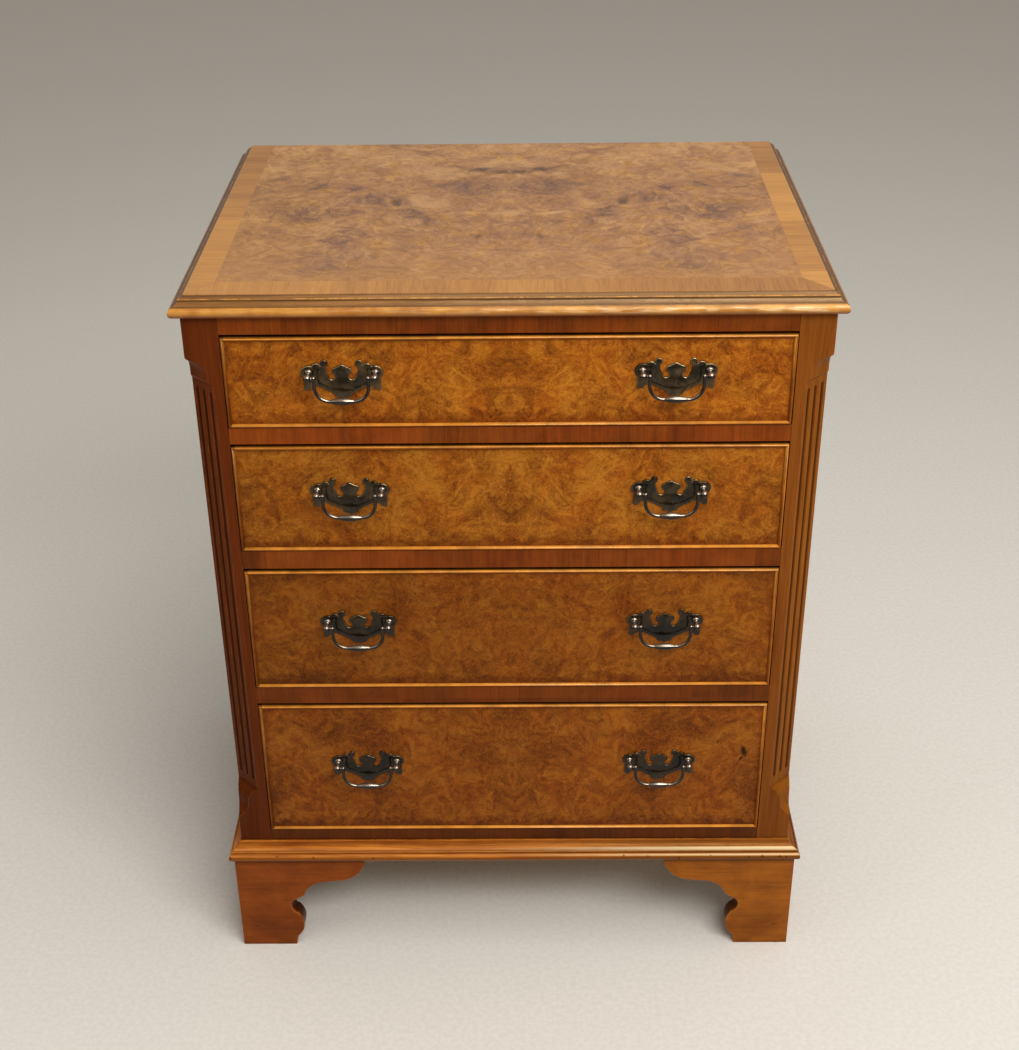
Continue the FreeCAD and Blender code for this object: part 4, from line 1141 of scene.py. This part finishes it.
class CHEST_OT_handles(ChestStep):
    """Backplates, turned posts and swelled bails"""
    bl_idname = "chest.handles"
    bl_label = "Handles"

    def execute(self, context):
        finish = materials(context)
        brass, dark = finish["Antique brass"], finish["Dark bails"]
        sizes = context.scene.chest_sizes
        tree = bail_tree()
        for number in DRAWERS:
            chamfered_plates(number, sizes.plate_chamfer, brass)
            smoothed(f"drawer_{number}_handle_posts", dark, f"drawer_{number}")
            for side in SIDES:
                node, body = f"drawer_{number}_bail_{side}", f"bail_{number}_{side}"
                low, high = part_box(node)
                middle, depth, axis = next(j for j in frame["joints"] if j["child"] == body)["pos_m"]
                leg = (high.x - low.x) / 2 - sizes.pin_length
                foot = low.z + sizes.bail_swell
                route = ((middle - leg, depth, axis), (middle - leg, depth, foot),
                         (middle + leg, depth, foot), (middle + leg, depth, axis))
                bail = grow(node + "_finish", route, tree, wire=sizes.bail_wire, swell=sizes.bail_swell,
                            bend=sizes.bail_corner, knuckle=sizes.knuckle, pin=sizes.pin_radius,
                            pin_length=sizes.pin_length, grip=leg - sizes.bail_corner, middle=middle,
                            metal=dark)
                dress(bail, node, dark, body)
        return {"FINISHED"}


# ---------------------------------------------------------------- stage

FLOOR_REACH = 12.0
LIT_POINT = Vector((0, 0, 0.45))
LAMPS = {  # place, width and height, and watts
    "key": ((1.0, -1.95, 2.5), (2.0, 0.8), 62.0),
    "fill": ((-2.0, -1.5, 2.1), (1.4, 1.4), 5.0),
    "over": ((0.2, 0.3, 2.8), (1.2, 1.2), 8.0),
    "strip": ((0.6, -0.6, 2.6), (2.0, 0.35), 17.0),
}
ROOM_LIGHT = (222, 217, 209)  # colour as a display shows it
ROOM_STRENGTH = 0.45
CAMERA_PLACE = (0.013264, -1.584407, 1.330201)
CAMERA_TURN = (-0.5985, -30.042, -0.6326)  # degrees to the right, up, and tilted
CAMERA_LENS = 56.1725  # millimetres, as is the width of the sensor
CAMERA_SENSOR = 36.0


def lay_floor(shade):
    """One wide board of floor."""
    mesh = bpy.data.meshes.new("floor")
    corners = [(x * FLOOR_REACH, y * FLOOR_REACH, 0) for x, y in ((-1, -1), (1, -1), (1, 1), (-1, 1))]
    mesh.from_pydata(corners, [], [(0, 1, 2, 3)])
    mesh.materials.append(floor_finish("Floor", shade))
    new_object("floor", mesh)


def hang_lamps():
    """Soft lamps, all turned to the middle of the chest."""
    for name, (place, (wide, high), watts) in LAMPS.items():
        lamp = bpy.data.lights.new(name, "AREA")
        lamp.shape = "RECTANGLE"
        lamp.size, lamp.size_y = wide, high
        lamp.energy = watts
        thing = new_object(name, lamp)
        thing.location = place
        thing.rotation_euler = (LIT_POINT - Vector(place)).to_track_quat("-Z", "Y").to_euler()


def light_room(context):
    """Even light from all round."""
    world = bpy.data.worlds.new("Studio")
    world.use_nodes = True
    background = world.node_tree.nodes["Background"].inputs
    background["Color"].default_value = (*tint(*ROOM_LIGHT), 1.0)
    background["Strength"].default_value = ROOM_STRENGTH
    context.scene.world = world


def set_camera(context):
    """Camera in front of the chest and above it."""
    camera = bpy.data.cameras.new("camera")
    camera.sensor_fit = "AUTO"
    camera.sensor_width = CAMERA_SENSOR
    camera.lens = CAMERA_LENS
    thing = new_object("camera", camera)
    yaw, pitch, roll = (math.radians(angle) for angle in CAMERA_TURN)
    forward = Vector((math.sin(yaw) * math.cos(pitch), math.cos(yaw) * math.cos(pitch), math.sin(pitch)))
    right = Vector((math.cos(yaw), -math.sin(yaw), 0))
    up = right.cross(forward)
    level = Matrix((right * math.cos(roll) + up * math.sin(roll),
                    up * math.cos(roll) - right * math.sin(roll), -forward)).transposed()
    thing.matrix_world = Matrix.Translation(CAMERA_PLACE) @ level.to_4x4()
    context.scene.camera = thing


class CHEST_OT_stage(ChestStep):
    """Plain floor, soft light and the camera"""
    bl_idname = "chest.stage"
    bl_label = "Stage"

    def execute(self, context):
        lay_floor(context.scene.chest_colours.floor)
        light_room(context)
        hang_lamps()
        set_camera(context)
        context.scene.view_settings.view_transform = "Standard"
        return {"FINISHED"}


class CHEST_PT_panel(bpy.types.Panel):
    """Steps of the chest, with its sizes and colours"""
    bl_idname = "CHEST_PT_panel"
    bl_label = "Bachelor's chest"
    bl_space_type = "VIEW_3D"
    bl_region_type = "UI"
    bl_category = "Chest"

    def draw(self, context):
        for step in STEPS:
            self.layout.operator(step.bl_idname)
        for group in (context.scene.chest_sizes, context.scene.chest_colours):
            box = self.layout.box()
            for name in group.__annotations__:
                box.prop(group, name)


STEPS = (CHEST_OT_top, CHEST_OT_case, CHEST_OT_base, CHEST_OT_back_pins, CHEST_OT_drawers, CHEST_OT_handles,
         CHEST_OT_stage)
CLASSES = (ChestSizes, ChestColours, *STEPS, CHEST_PT_panel)


def register():
    for item in CLASSES:
        bpy.utils.register_class(item)
    bpy.types.Scene.chest_sizes = PointerProperty(type=ChestSizes)
    bpy.types.Scene.chest_colours = PointerProperty(type=ChestColours)


def unregister():
    del bpy.types.Scene.chest_colours
    del bpy.types.Scene.chest_sizes
    for item in reversed(CLASSES):
        bpy.utils.unregister_class(item)


def main():
    register()
    bpy.ops.chest.top()
    bpy.ops.chest.case()
    bpy.ops.chest.base()
    bpy.ops.chest.back_pins()
    bpy.ops.chest.drawers()
    bpy.ops.chest.handles()
    bpy.ops.chest.stage()


if __name__ == "__main__":
    main()
